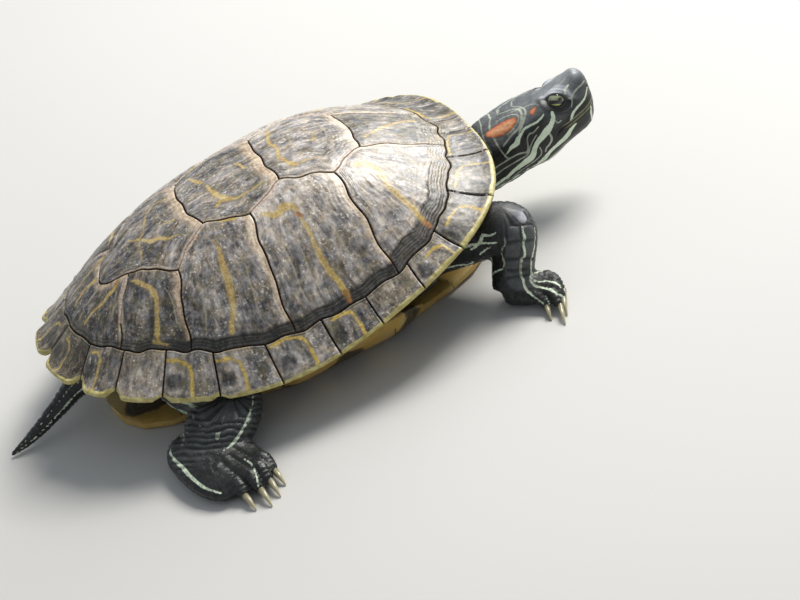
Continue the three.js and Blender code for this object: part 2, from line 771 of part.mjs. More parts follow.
function addNode(name, solid, slot) {
  const mesh = solid.simplify(DETAIL).getMesh();
  const position = new Float32Array(mesh.numVert * 3);
  for (let i = 0; i < mesh.numVert; i++) {
    const at = i * mesh.numProp;
    position.set(mesh.vertProperties.subarray(at, at + 3), i * 3);
  }
  const geometry = new THREE.BufferGeometry();
  geometry.setAttribute("position", new THREE.BufferAttribute(position, 3));
  geometry.setIndex(new THREE.BufferAttribute(mesh.triVerts, 1));
  geometry.computeVertexNormals();
  const material = new THREE.MeshStandardMaterial({ color: COLOURS[slot], roughness: 0.5 });
  const made = new THREE.Mesh(geometry, material);
  made.name = name;
  group.add(made);
}

const SIDES = [["r", -1], ["l", 1]];
for (let i = 0; i < 5; i++) addNode(`vertebral_${i + 1}`, vertebral(i), "carapace");
for (const [letter, side] of SIDES) {
  for (let i = 0; i < 4; i++) addNode(`costal_${letter}${i + 1}`, costal(i, side), "carapace");
  for (let i = 0; i < 12; i++) {
    const [a, b] = [SEAMS_OUTER[i], SEAMS_OUTER[i + 1]];
    const [c, d] = [SEAMS_INNER[i], SEAMS_INNER[i + 1]];
    const solid = marginal(a, b, c, d, side, MARGINAL_STEPS);
    addNode(`marginal_${letter}${i + 1}`, solid, "marginal");
  }
}
const [nuchalRim, nuchalInner] = [SEAMS_OUTER[0], SEAMS_INNER[0]];
addNode("nuchal", marginal(-nuchalRim, nuchalRim, -nuchalInner, nuchalInner, 1, 2), "marginal");
addNode("plastron", plastron(), "plastron");
addNode("trunk", trunk(0), "skin");

const core = trunk(PART_GAP);
const neckEnd = [inHead(-12, 0, 0).toArray(), inHead(1, 0, 0).sub(inHead(0, 0, 0)).toArray()];
const neck = cut(tube(NECK_PATH, [0, 1, 0], 8, 20), ...neckEnd, -1).subtract(core);
addNode("neck", neck, "skin");

const wholeHead = cut(headSolid(), ...neckEnd, 1);
let skull = wholeHead.subtract(jawRegion(0));
for (const [letter, side] of SIDES) {
  const centre = inHead(EYE_CENTRE[0], side * EYE_CENTRE[1], EYE_CENTRE[2]);
  skull = skull.subtract(ball(centre, EYE_RADIUS + EYE_CLEARANCE));
  addNode(`eye_${letter}`, ball(centre, EYE_RADIUS), "eye");
}
addNode("head", skull, "skin");
addNode("jaw", wholeHead.intersect(jawRegion(PART_GAP)), "skin");

const tail = tube(TAIL_PATH, [0, 1, 0], 14, 12).subtract(core).trimByPlane(...FLOOR_CUT);
addNode("tail", tail, "skin");

for (const [letter, side] of SIDES) {
  const { upperArm, forearm, hand } = foreLimb();
  const at = (solid) => placed(solid, side, SHOULDER, side < 0 ? 0 : 6);
  const elbow = [ELBOW, [0.2, -0.6, -0.75]];
  const wrist = [WRIST, [0.1, -0.45, -0.9]];
  addNode(`upper_arm_${letter}`, at(cut(upperArm, ...elbow, -1)).subtract(core), "skin");
  addNode(`forearm_${letter}`, at(cut(cut(forearm, ...elbow, 1), ...wrist, -1)), "skin");
  addNode(`hand_${letter}`, at(cut(hand.trimByPlane(...FLOOR_CUT), ...wrist, 1)), "skin");
}

for (const [letter, side] of SIDES) {
  const { thigh, shank, foot } = hindLimb();
  const at = (solid) => placed(solid, side, HIP, side < 0 ? 0 : -8);
  const knee = [KNEE, [-0.25, -0.9, -0.2]];
  const ankle = [ANKLE, [-0.6, -0.6, -0.55]];
  addNode(`thigh_${letter}`, at(cut(thigh, ...knee, -1)).subtract(core), "skin");
  addNode(`shank_${letter}`, at(cut(cut(shank, ...knee, 1), ...ankle, -1)), "skin");
  addNode(`foot_${letter}`, at(cut(foot.trimByPlane(...FLOOR_CUT), ...ankle, 1)), "skin");
}

export default group;
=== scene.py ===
"""A red-eared slider, adult female, basking: the finished surfaces of a still, life-size model.
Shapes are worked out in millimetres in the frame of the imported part; a mesh turns them to metres."""
import bpy
import itertools
import numpy as np
from mathutils import Matrix, Vector


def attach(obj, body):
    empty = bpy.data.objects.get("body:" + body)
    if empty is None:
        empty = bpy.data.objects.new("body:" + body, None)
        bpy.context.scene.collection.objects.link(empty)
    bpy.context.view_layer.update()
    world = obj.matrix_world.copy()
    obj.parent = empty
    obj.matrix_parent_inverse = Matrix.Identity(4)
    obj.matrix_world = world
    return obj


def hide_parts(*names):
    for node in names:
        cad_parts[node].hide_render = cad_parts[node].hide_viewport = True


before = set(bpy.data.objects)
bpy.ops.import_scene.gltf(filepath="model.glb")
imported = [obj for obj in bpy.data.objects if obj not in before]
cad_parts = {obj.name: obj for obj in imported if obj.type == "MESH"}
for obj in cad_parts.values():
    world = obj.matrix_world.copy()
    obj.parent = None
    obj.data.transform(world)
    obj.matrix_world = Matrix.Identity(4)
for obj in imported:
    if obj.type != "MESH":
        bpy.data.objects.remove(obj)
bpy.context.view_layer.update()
MM = 0.001

# ---------------------------------------------------------------- sizes shared with the CAD part, mm
CARAPACE_LENGTH = 220
CARAPACE_HALF_WIDTH = 88
WIDEST_AT_X = 2.8
FRONT_SQUARENESS = 2.89
REAR_SQUARENESS = 2.1
SHELL_HEIGHT = 83.2
CROWN_SHIFT = 5.5
# The rim's mean height, then how far it swings once, twice and three times round.
RIM_HEIGHTS = (37.75, 7.44, 9.48, -1.76)
# Exponents of the dome: at the sides, and what the front adds.
FLARE, CROWN = (2.77, 0.0655), (0.676, -0.167)
SLOPE_STEP = 0.4
PLATE_THICKNESS = 2.6
RIM_THICKNESS = 3.4
REAR_NOTCH = 1.7
REAR_LOBE = 3.0
RIGHT, LEFT = -1, 1
ALONG_NORMAL = 0.85  # how much of a gap along the surface's normal is left out when marks are drawn
UNPAINTED = -9.0  # a mark's field far from the mark
SIDES = {"r": RIGHT, "l": LEFT}


# ---------------------------------------------------------------- numbers
def mix(a, b, t):
    return a + (b - a) * t


def smooth(t):
    t = np.clip(t, 0.0, 1.0)
    return t * t * (3 - 2 * t)


def unit(v):
    return v / np.maximum(np.linalg.norm(v, axis=-1, keepdims=True), 1e-9)


def fade(x, width=1.0):
    """1 where x is 0 or less, falling smoothly to 0 at width."""
    return 1 - smooth(x / width)


def hump(x, middle, width):
    """1 at middle and falling off to both sides."""
    return np.exp(-(((x - middle) / width) ** 2))


def waves(x, step):
    """Between 0 and 1, with a crest at every step from 0."""
    return 0.5 + 0.5 * np.cos(2 * np.pi * x / step)


def lines_every(x, step, width):
    """1 at every step from 0, falling to 0 at width from there."""
    turn = x / step
    return fade(np.abs(turn - np.round(turn)) * step, width)


def look_up(rows, x):
    """Value of a table of (position, value) pairs, joined by straight lines."""
    rows = np.asarray(rows, float)
    return np.interp(x, rows[:, 0], rows[:, 1])


def along(rows, t):
    """Catmull-Rom through rows of numbers, t from 0 to len(rows) - 1."""
    rows = np.asarray(rows, float)
    t = np.atleast_1d(np.asarray(t, float))
    i = np.clip(np.floor(t).astype(int), 0, len(rows) - 2)
    f = (t - i)[:, None]
    p0, p1, p2, p3 = (rows[np.clip(i + k, 0, len(rows) - 1)] for k in (-1, 0, 1, 2))
    bend = (2 * p0 - 5 * p1 + 4 * p2 - p3) * f**2 + (3 * p1 - p0 - 3 * p2 + p3) * f**3
    return (2 * p1 + (p2 - p0) * f + bend) / 2


def curve(rows, steps):
    """A smooth line of points through rows, with that many steps between two rows."""
    count = (len(rows) - 1) * steps
    return along(rows, np.linspace(0, len(rows) - 1, count + 1))


def hashed(cell, seed):
    """A steady number from 0 to 1 for each row of whole numbers."""
    n = cell[:, 0] * 374761393 + cell[:, 1] * 668265263 + cell[:, 2] * 1440662683 + seed * 974634777
    n = n & 0xFFFFFFFF
    n = ((n ^ (n >> 13)) * 1274126177) & 0xFFFFFFFF
    n = ((n ^ (n >> 15)) * 1103515245) & 0xFFFFFFFF
    return (n ^ (n >> 16)) / 2.0**32


def noise(points, size, seed=0):
    """Smooth noise from -1 to 1, with features about size across. size may hold three sizes."""
    p = points / size
    cell = np.floor(p).astype(np.int64)
    f = smooth(p - cell)
    total = 0.0
    for corner in itertools.product((0, 1), repeat=3):
        weight = np.prod(np.where(corner, f, 1 - f), axis=1)
        total = total + weight * hashed(cell + np.array(corner), seed)
    return 2 * total - 1


def scales(points, size, seed=0):
    """Distance to the nearest and to the second nearest centre of a loose lattice, as shares of size,
    and the nearest one's own number from 0 to 1."""
    p = points / size
    cell = np.floor(p).astype(np.int64)
    first = np.full(len(p), 9.0)
    second = np.full(len(p), 9.0)
    own = np.zeros(len(p))
    for step in itertools.product((-1, 0, 1), repeat=3):
        at = cell + np.array(step)
        centre = at + 0.5
        for axis in range(3):
            centre[:, axis] += 0.7 * (hashed(at, seed + axis) - 0.5)
        d = np.linalg.norm(p - centre, axis=1)
        nearer = d < first
        second = np.where(nearer, first, np.minimum(second, d))
        own = np.where(nearer, hashed(at, seed + 3), own)
        first = np.where(nearer, d, first)
    return first, second, own


def line_distance(points, line, normals=None):
    """Distance of each point to a line of straight stretches, and how far along it, from 0 to 1."""
    return nearest_leg(points, line, normals)[:2]


def flattened(gap, normals):
    """Gaps with most of their share along the normals taken out, so a mark keeps its width on a bump."""
    return gap - ALONG_NORMAL * np.einsum("ij,ij->i", gap, normals)[:, None] * normals


def nearest_leg(points, line, normals=None):
    """As line_distance; with normals also on which side of the line each point lies, as 1 or -1."""
    best = np.full(len(points), 1e9)
    place, hand = np.zeros(len(points)), np.ones(len(points))
    last = len(line) - 1
    for k in range(last):
        leg = line[k + 1] - line[k]
        t = np.clip((points - line[k]) @ leg / max(leg @ leg, 1e-9), 0, 1)
        gap = points - line[k] - t[:, None] * leg
        if normals is not None:
            gap = flattened(gap, normals)
        d = np.linalg.norm(gap, axis=1)
        nearer = d < best
        place = np.where(nearer, (k + t) / last, place)
        if normals is not None:
            across = np.einsum("ij,ij->i", gap, np.cross(leg, normals))
            hand = np.where(nearer, np.where(across < 0, -1, 1), hand)
        best = np.minimum(best, d)
    return best, place, hand


def painted(points, marks, normals=None):
    """Distance inside the nearest of the marks, in mm, below 0 outside. A mark is a line and its widths,
    spread evenly along it."""
    return fine_lines(points, marks, normals)[0]


def fine_lines(points, marks, normals):
    """As painted, and for lines about as thin as the mesh is fine also the distance across the nearest one,
    with a sign, which runs straight through the line, and its half width."""
    inside = np.full(len(points), UNPAINTED)
    across, half = np.full(len(points), -UNPAINTED), np.zeros(len(points))
    for line, *widths in marks:
        d, place, hand = nearest_leg(points, line, normals)
        own_half = np.interp(place, np.linspace(0, 1, len(widths)), widths) / 2
        nearer = own_half - d > inside
        across, half = np.where(nearer, d * hand, across), np.where(nearer, own_half, half)
        inside = np.maximum(inside, own_half - d)
    return inside, across, half


def curved(marks, steps=4):
    """Marks with their lines rounded."""
    return [(curve(line, steps), *widths) for line, *widths in marks]


# ---------------------------------------------------------------- meshes
def make_piece(name, points, faces, material, nodes, fields):
    """A mesh that rides on the body and stands for CAD nodes. faces is a list of arrays of equally long
    faces; fields are named numbers at each vertex, which the materials read."""
    mesh = bpy.data.meshes.new(name)
    mesh.vertices.add(len(points))
    mesh.vertices.foreach_set("co", (points * MM).astype(np.float32).ravel())
    corners = np.concatenate([f.ravel() for f in faces])
    sizes = np.concatenate([np.full(len(f), f.shape[1]) for f in faces])
    mesh.loops.add(len(corners))
    mesh.loops.foreach_set("vertex_index", corners.astype(np.int32))
    mesh.polygons.add(len(sizes))
    starts = np.concatenate([[0], np.cumsum(sizes)[:-1]])
    mesh.polygons.foreach_set("loop_start", starts.astype(np.int32))
    mesh.update(calc_edges=True)
    mesh.polygons.foreach_set("use_smooth", np.ones(len(sizes), bool))
    for field, values in fields.items():
        kind, key = ("FLOAT_VECTOR", "vector") if values.ndim == 2 else ("FLOAT", "value")
        mesh.attributes.new(field, kind, "POINT").data.foreach_set(key, values.astype(np.float32).ravel())
    mesh.materials.append(material)
    piece = bpy.data.objects.new(name, mesh)
    bpy.context.scene.collection.objects.link(piece)
    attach(piece, "root")
    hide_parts(*nodes)


def grid_faces(rows, columns, wrap=False):
    """Quads of a grid of points stored row by row; with wrap, each row closes on itself."""
    j, i = np.meshgrid(np.arange(rows - 1), np.arange(columns if wrap else columns - 1), indexing="ij")
    across = (i + 1) % columns
    quads = [j * columns + i, j * columns + across, (j + 1) * columns + across, (j + 1) * columns + i]
    return np.stack(quads, -1).reshape(-1, 4)


# ---------------------------------------------------------------- the carapace as a surface
def rim_reach(theta):
    """How far the rim stands from the middle at an angle from the front."""
    c, s = np.abs(np.cos(theta)), np.abs(np.sin(theta))
    front = np.cos(theta) >= 0
    length = CARAPACE_LENGTH / 2 - np.where(front, WIDEST_AT_X, -WIDEST_AT_X)
    n = np.where(front, FRONT_SQUARENESS, REAR_SQUARENESS)
    return ((c / length) ** n + (s / CARAPACE_HALF_WIDTH) ** n) ** (-1 / n)


def rim_share(xy):
    """Angle of plan points from the front, and how far out they lie: 0 in the middle, 1 on the rim."""
    dx, dy = xy[..., 0] - WIDEST_AT_X, xy[..., 1]
    theta = np.arctan2(np.abs(dy), dx)
    return theta, np.hypot(dx, dy) / rim_reach(theta)


def rim_height(theta):
    return sum(size * np.cos(k * theta) for k, size in enumerate(RIM_HEIGHTS))


def dome_height(xy):
    """Height of the carapace over points of the plan: a dome with a flared rim."""
    theta, rho = rim_share(xy)
    rho, c = np.minimum(1, rho), np.cos(theta)
    flare, crown = FLARE[0] + FLARE[1] * c, CROWN[0] + CROWN[1] * c
    rise = (1 - rho**flare) ** (1 / crown)
    return rim_height(theta) * (1 - rise) + SHELL_HEIGHT * rise + CROWN_SHIFT * c * rho * rise


def plan_point(rho, theta, side):
    r = rho * rim_reach(theta)
    return np.stack([WIDEST_AT_X + r * np.cos(theta), side * r * np.sin(theta)], -1)


def dome_normal(xy):
    e = SLOPE_STEP
    slopes = [(dome_height(xy + step) - dome_height(xy - step)) / (2 * e) for step in ((e, 0), (0, e))]
    return unit(np.stack([-slopes[0], -slopes[1], np.ones_like(slopes[0])], -1))


def dome_point(xy, lift=0.0):
    """A point of the dome, moved out along its normal."""
    base = np.concatenate([xy, dome_height(xy)[..., None]], -1)
    return base + dome_normal(xy) * np.asarray(lift)[..., None]


# ---------------------------------------------------------------- seams between the plates
# How far out the marginals begin, as a share of the way to the rim, by degrees from the front.
MARGINAL_INNER_RHO = [
    (0, 0.87), (19, 0.83), (34, 0.832), (48, 0.875), (60, 0.882), (76, 0.876), (92, 0.863),
    (111, 0.856), (128, 0.842), (142, 0.835), (154, 0.847), (166, 0.865), (180, 0.87),
]
# The seams between the marginals at their inner and outer ends, and those between the costals, in degrees.
SEAMS_INNER = [4.3, 19.4, 33.9, 48, 60.1, 75.8, 91.8, 111.5, 127.6, 141.9, 154.5, 166.5, 180]
SEAMS_OUTER = [3.8, 15.4, 33, 49.4, 62.7, 76.5, 90.7, 108.6, 125.7, 140.6, 153, 163.9, 180]
COSTAL_SEAMS = [12, 63.8, 101, 133.7, 156]
# Ends of the seams between the vertebrals, and between them the corners where a vertebral is broadest:
# forward and to the side.
V12, V2_POINT, V23, V3_POINT = (55, 18.9), (38.5, 31.9), (15.6, 23.3), (-3.5, 31.9)
V34, V4_POINT, V45 = (-23.8, 21.6), (-43.1, 33.4), (-62.3, 14.1)
V45_MIDDLE_X = -75
SEAM_WANDER = 0.45  # about how far a seam strays from its straight course
PLATE_GAP = 0.1  # how far a plate's border draws back from the seam
GRID_STEP = 0.55  # between neighbouring points of a plate's face
UNDER_STRIDE = 4  # a plate's under side has one point for so many of its face


def wander(xy):
    """Moves plan points a little, so that no seam is dead straight. Neighbours move alike."""
    x, y = xy[..., 0], xy[..., 1]
    size = SEAM_WANDER * smooth((1 - rim_share(xy)[1]) / 0.12)
    dx = np.sin(0.33 * y + 0.9) + 0.7 * np.sin(0.61 * x + 0.4 * y)
    dy = np.sin(0.37 * x + 2.1) + 0.7 * np.sin(0.55 * y - 0.3 * x + 1.0)
    return xy + np.stack([dx, dy], -1) * size[..., None]


def inner_edge(degrees, side):
    """The marginals' inner edge, at degrees from the front; negative degrees lie on the other side."""
    around = np.abs(np.asarray(degrees, float))
    across = side * np.where(np.asarray(degrees) < 0, -1, 1)
    return plan_point(look_up(MARGINAL_INNER_RHO, around), np.radians(around), across)


def chain(corners, count):
    """count + 1 points spread over straight legs between corners, keeping every corner."""
    corners = np.asarray(corners, float)
    legs = len(corners) - 1
    t = np.linspace(0, legs, count + 1)
    i = np.minimum(t.astype(int), legs - 1)
    return mix(corners[i], corners[i + 1], (t - i)[:, None])


def coons(bottom, top, start, end):
    """Plan grid filled in from four sides: bottom and top run one way, start and end the other."""
    u = np.linspace(0, 1, len(bottom))[None, :, None]
    v = np.linspace(0, 1, len(start))[:, None, None]
    ruled = mix(bottom[None], top[None], v) + mix(start[:, None], end[:, None], u)
    corners = mix(mix(bottom[0], bottom[-1], u), mix(top[0], top[-1], u), v)
    return ruled - corners


def even(length):
    """A count of grid steps for a length in mm that the under side's stride and two legs divide."""
    unit_count = 2 * UNDER_STRIDE
    return max(unit_count, int(round(length / GRID_STEP / unit_count)) * unit_count)


def spread(rows, columns):
    """For each point of a grid its share of the way along the rows and along the columns."""
    return (g.ravel() for g in np.meshgrid(rows, columns, indexing="ij"))


# ---------------------------------------------------------------- relief of a plate
GROOVE_WIDTH, GROOVE_DEPTH = 0.55, 0.95
PILLOW_WIDTH, PILLOW_DEPTH = 4.5, 0.4  # the soft fall of a plate's face towards its seams
RING_COUNT, RING_DEPTH = 11, 0.13
RING_SQUARENESS = 3.5  # how closely the growth rings keep the border's shape
OLDEST_REACH = 2  # the least radius of the oldest spot


def ring_place(distances, oldest):
    """1 on a plate's border and falling to 0 at its oldest point, given the distances to its borders."""
    pulls = 0
    for d in distances:
        pulls = pulls + (np.maximum(d, 1e-3) / max(d[oldest], OLDEST_REACH)) ** -RING_SQUARENESS
    return np.clip(1 - (pulls / len(distances)) ** (-1 / RING_SQUARENESS), 0, 1)


def plate_relief(points, edge, ring, streak, seed, worn_seam=0.0):
    """How far a plate's face stands out from the plain dome, in mm: nowhere above it."""
    groove = GROOVE_DEPTH * (1 - 0.6 * worn_seam) * fade(edge, GROOVE_WIDTH)
    pillow = PILLOW_DEPTH * fade(edge, PILLOW_WIDTH)
    worn = noise(points, 6, seed)
    turn = ring * RING_COUNT + 0.35 * worn
    step = turn - np.floor(turn)
    rings = RING_DEPTH * smooth(step / 0.8) * fade(step - 0.86, 0.14)
    rings = rings * smooth((ring - 0.25) / 0.3) * (0.7 + 0.5 * worn)
    rough = 0.2 * noise(points, 11, seed + 1) + 0.07 * noise(points, 3.2, seed + 2)
    fine = 0.05 * noise(points, 1.3, seed + 3) + 0.08 * noise(streak, (1.5, 9, 9), seed + 4)
    return np.minimum(rings - RING_DEPTH - groove - pillow + (rough + fine - 0.2) * smooth(edge / 1.5), -0.02)


def plate_gap(base, edge, middle):
    """Moves that draw a plate's border in towards its middle, and so leave a gap to its neighbours."""
    size = (PLATE_GAP * fade(edge, 1.2)).reshape(*base.shape[:2], 1)
    return unit(middle - base) * size


def plate_fields(count, **own):
    """The fields that the shell's material reads: own ones, and for the rest values that show nothing."""
    plain = dict.fromkeys(("band", "crest", "pale", "under"), 0.0)
    plain |= dict.fromkeys(("mark", "trace", "amber", "worn"), UNPAINTED)
    plain |= {"rim": FAR_FROM_RIM, **own}
    return {key: v if np.ndim(v) else np.full(count, v) for key, v in plain.items()}


# ---------------------------------------------------------------- markings of the dome's plates
# Plan points (forward, to the side) and widths in mm. First the broad yellow marks.
OCHRE = {
    "costal_1": [
        ([(48, 32), (52, 32), (54.5, 35), (56.5, 41), (57, 47), (59, 55), (62, 62)], 2.2, 4.4, 3.2, 2.8, 3.0),
    ],
    "costal_2": [
        ([(1, 35.5), (6, 38.2), (9.8, 37.5), (13, 38.8), (15, 41.5)], 2.0, 3.6, 4.6, 3.4, 2.0),
        ([(15.2, 45.5), (14.6, 50), (14, 56), (14, 62), (15.2, 67.5), (16, 74)],
         1.3, 1.9, 2.3, 2.8, 3.0, 2.8),
    ],
    "costal_3": [
        ([(-23.5, 33), (-24, 39), (-25, 46), (-28, 53), (-31.5, 60), (-35, 65)],
         1.0, 1.7, 3.4, 3.3, 2.4, 2.1),
        ([(-16, 26.5), (-10.6, 29.5)], 0.9, 2.0),
    ],
    "costal_4": [
        ([(-63, 19), (-59.3, 24), (-57.4, 30.2), (-58.1, 36), (-60.3, 41), (-65, 49)],
         0.9, 2.1, 2.6, 2.4, 2.2, 2.6),
        ([(-62, 52), (-66.5, 48)], 0.6, 2.0),
    ],
    "vertebral_1": [([(60.7, -11.6), (67.3, -7.1), (73, -0.7), (81, 4.3), (89, 7.5)], 1.0, 1.9, 1.5)],
    "vertebral_2": [
        ([(25.3, 22), (23.2, 11), (22.6, 0), (22.5, -9), (23.6, -16), (26, -19.4), (31, -19), (36, -20)],
         1.4, 1.7, 1.5, 2.3, 1.3, 0.6),
        ([(41, 2.5), (40.2, -4)], 0.8, 1.2),
    ],
    "vertebral_3": [
        ([(-12.7, 2.8), (-12, -5), (-10.8, -12), (-9.2, -16.6)], 1.0, 2.6, 3.6),
        ([(-10, -14.6), (-12.9, -16.9), (-15.5, -18.2)], 3.0, 2.0, 0.9),
        ([(-9, -16.8), (-4, -20.4), (1.2, -20.7), (5.2, -19.8), (8.7, -18.2)], 2.0, 0.9, 1.2, 0.7),
        ([(-17.2, 16.3), (-14.1, 5.8)], 1.3, 2.2), ([(4, 5.4), (6, -2.5)], 1.2, 1.5),
    ],
    "vertebral_4": [
        ([(-30.5, 12.8), (-36.4, 14.6), (-42.6, 10.9), (-46.7, 2.5), (-50.3, -4), (-54.4, -15.2)],
         0.9, 1.1, 1.0, 0.8),
        ([(-55, 3), (-50, -3.3), (-46.3, -8.7), (-43, -12), (-39.5, -17), (-35.5, -19.5)],
         0.8, 1.0, 2.2, 2.2, 1.2, 0.8),
        ([(-37.5, -6.1), (-33.3, -8.4)], 0.6, 0.9),
    ],
    "vertebral_5": [
        ([(-69.3, 1), (-76, 3.2), (-82, 5.5), (-89, 4)], 0.9, 1.9, 1.4),
        ([(-67.5, -12.6), (-70.3, -15.1), (-76.4, -14), (-83.3, -12.6), (-89, -12.6)], 1.0, 2.2, 1.8, 1.2),
        ([(-68, 13), (-79, 14), (-88, 13)], 0.8, 1.6, 1.0),
    ],
}
# Orange spots on or at the end of a mark.
AMBER = {
    "costal_1": [([(62.6, 63.6), (63.6, 65.6)], 2.6, 2.8)],
    "costal_2": [([(14.8, 43), (16.2, 44.9)], 2.3, 2.0), ([(15.9, 73), (15.9, 75.5)], 2.4, 2.4)],
    "costal_3": [([(-32.2, 23.2), (-28.6, 26.9)], 1.2, 1.4)],
    "vertebral_5": [([(-67.6, -1.2), (-68.6, 0)], 1.2, 1.4), ([(-68, -13), (-69.8, -14.8)], 1.6, 1.6)],
}
# Legs of the seams between the vertebrals and the costals that have grown over, pale and shallow.
WORN = {
    "costal_1": [([(54.6, 19.4), (47, 25.5), (39.5, 31)], 2.2, 3.4, 2.2)],
    "costal_2": [([(15, 24), (7, 28.5), (-2, 31.2)], 2.2, 4.0, 2.0)],
    "costal_3": [([(-24.5, 22.2), (-33, 28), (-42, 32.6)], 1.6, 2.8, 1.6)],
    "costal_4": [([(-63.5, 15), (-68, 18.5), (-72, 25), (-75, 30)], 1.4, 2.4, 1.6)],
}
WORN["vertebral_2"], WORN["vertebral_3"] = WORN["costal_1"], WORN["costal_2"]
WORN["vertebral_4"], WORN["vertebral_5"] = WORN["costal_3"], WORN["costal_4"]
# Faint thin lines of old growth.
TRACE = {
    "costal_1": [
        ([(66, 27), (71.5, 29), (73, 36), (71, 46), (66, 56)], 0.9, 1.1, 0.9),
        ([(62, 33), (66, 37), (66, 45)], 0.5, 0.9, 0.5),
        ([(38, 40), (34, 52), (35, 64)], 0.4, 0.8, 0.4),
    ],
    "costal_2": [
        ([(3, 45), (1, 56), (0, 70)], 0.4, 0.9, 0.5),
        ([(23, 44), (25, 56), (27, 68)], 0.4, 0.9, 0.5),
        ([(8, 47), (7, 58), (7, 70)], 0.3, 0.7, 0.4),
    ],
    "costal_3": [
        ([(-16, 40), (-17, 50), (-20, 60), (-21, 68)], 0.4, 0.9, 0.5),
        ([(-36, 42), (-40, 50), (-46, 60)], 0.4, 0.9, 0.5),
    ],
    "costal_4": [
        ([(-52, 36), (-52, 44), (-55, 53)], 0.4, 0.8, 0.5),
        ([(-70, 24), (-74, 30), (-79, 37)], 0.5, 1.2, 0.6),
    ],
    "vertebral_1": [
        ([(92, 17), (89, 8), (88, 0), (85, -10), (81, -19)], 1.0, 1.0, 1.0),
        ([(95, 15), (92.5, 6), (91, -3), (88, -11), (84, -19)], 0.6, 0.6, 0.6),
    ],
    "vertebral_2": [
        ([(46, 14), (47, 2), (44, -12)], 0.4, 0.8, 0.4), ([(34, 12), (30, 2), (33, -10)], 0.4, 0.9, 0.4),
    ],
    "vertebral_3": [([(2, 8), (0, -3), (2, -12)], 0.4, 0.8, 0.4)],
    "vertebral_4": [([(-40, 4), (-37, -4), (-34, -10)], 0.4, 0.8, 0.4), ([(-58, 6), (-57, -4)], 0.4, 0.7)],
    "vertebral_5": [([(-72, -6), (-80, -4), (-88, -5)], 0.4, 0.8, 0.4)],
}
# Growth band along a plate's border towards the rim: its width, and how dark it is at the front and rear.
BANDS = {
    "costal_1": (8.5, 0.1, 1.0), "costal_2": (5.4, 1.0, 1.0), "costal_3": (5.2, 1.0, 1.0),
    "costal_4": (4.4, 1.0, 0.7), "vertebral_1": (7.5, 0.1, 0.1), "vertebral_5": (3.0, 0.6, 0.6),
}
BAND_DROP = 0.55  # how deep a dark band lies
BAND_RIDGE, BAND_RIDGE_DEPTH = 1.35, 0.34
# How broad the pale front border is, and the step of the bars across that of the second costal.
PALE_BORDER = {
    "vertebral_1": 3.4, "vertebral_2": 5.0, "vertebral_3": 7.0, "vertebral_4": 6.2, "vertebral_5": 4.0,
    "costal_1": 3.4, "costal_2": 5.0, "costal_3": 6.0, "costal_4": 4.6,
}
RUNG_STEP = 2.3
FAR_FROM_RIM = 40.0  # the rim field of plates that have no rim
STREAK_STEP = 31.0  # how far apart two seeds' streaks lie in the noise
FAR_FROM_EDGE = 9.0  # the edge field of a marginal's under side, where it has no seam


def on_dome(points, marks, kind, side):
    """Distance inside the nearest of a plate's marks, which lie on the plan."""
    lines = []
    for line, *widths in curved(marks.get(kind, []), 5):
        lines.append((dome_point(wander(line * (1, side))), *widths))
    return painted(points, lines)


def growth_band(points, kind, distances, back, seed):
    """Of a plate's growth band: how dark it is, the painted highlight on its ridges' crests, and how deep it
    lies.
    """
    width, dark_front, dark_rear = BANDS.get(kind, (0, 0, 0))
    if not width:
        return 0.0, 0.0, 0.0
    to_front, to_rear, _, to_outer = distances
    to_rim = {"vertebral_1": to_front, "vertebral_5": to_rear}.get(kind, to_outer)
    inside = fade(to_rim + 0.5 * noise(points, 5, seed + 7) - width, 0.5)
    dark = mix(dark_front, dark_rear, smooth(back * 1.6))
    ridges = waves(to_rim + 0.2 * noise(points, 7, seed), BAND_RIDGE)
    clear = smooth(np.minimum.reduce(distances) / 0.6)
    band = inside * mix(0.25, 1, dark) * mix(mix(0.6, 0.85, dark), 1, 1 - ridges)
    # pale lines along the ridges: painted highlight
    crest = inside * smooth(ridges * 1.6 - 0.6) * mix(1, 0.12, dark)
    return band, crest, inside * clear * (BAND_DROP * dark + BAND_RIDGE_DEPTH * ridges - 0.1)


def pale_border(points, kind, distances, out, long_way, seed):
    """How pale a plate is along its front and inner borders."""
    to_front, _, to_inner, _ = distances
    width = PALE_BORDER[kind] * (1 + 0.25 * noise(points, 5, seed + 11))
    if kind.startswith("costal"):
        width = width * mix(1, 0.45, smooth(out * 1.5 - 0.35))
    pale = np.maximum(1 - smooth(to_front / width - 0.15), 0.8 * (1 - smooth(to_inner / 1.8 - 0.1)))
    if kind == "costal_2":
        rungs = waves(out * long_way + noise(points, 5, seed), RUNG_STEP)
        rungs = rungs * (1 - smooth(to_front / 7 - 0.2)) * (1 - smooth(out * 1.8 - 0.3))
        pale = np.maximum(pale, 0.8 * rungs)
    return pale


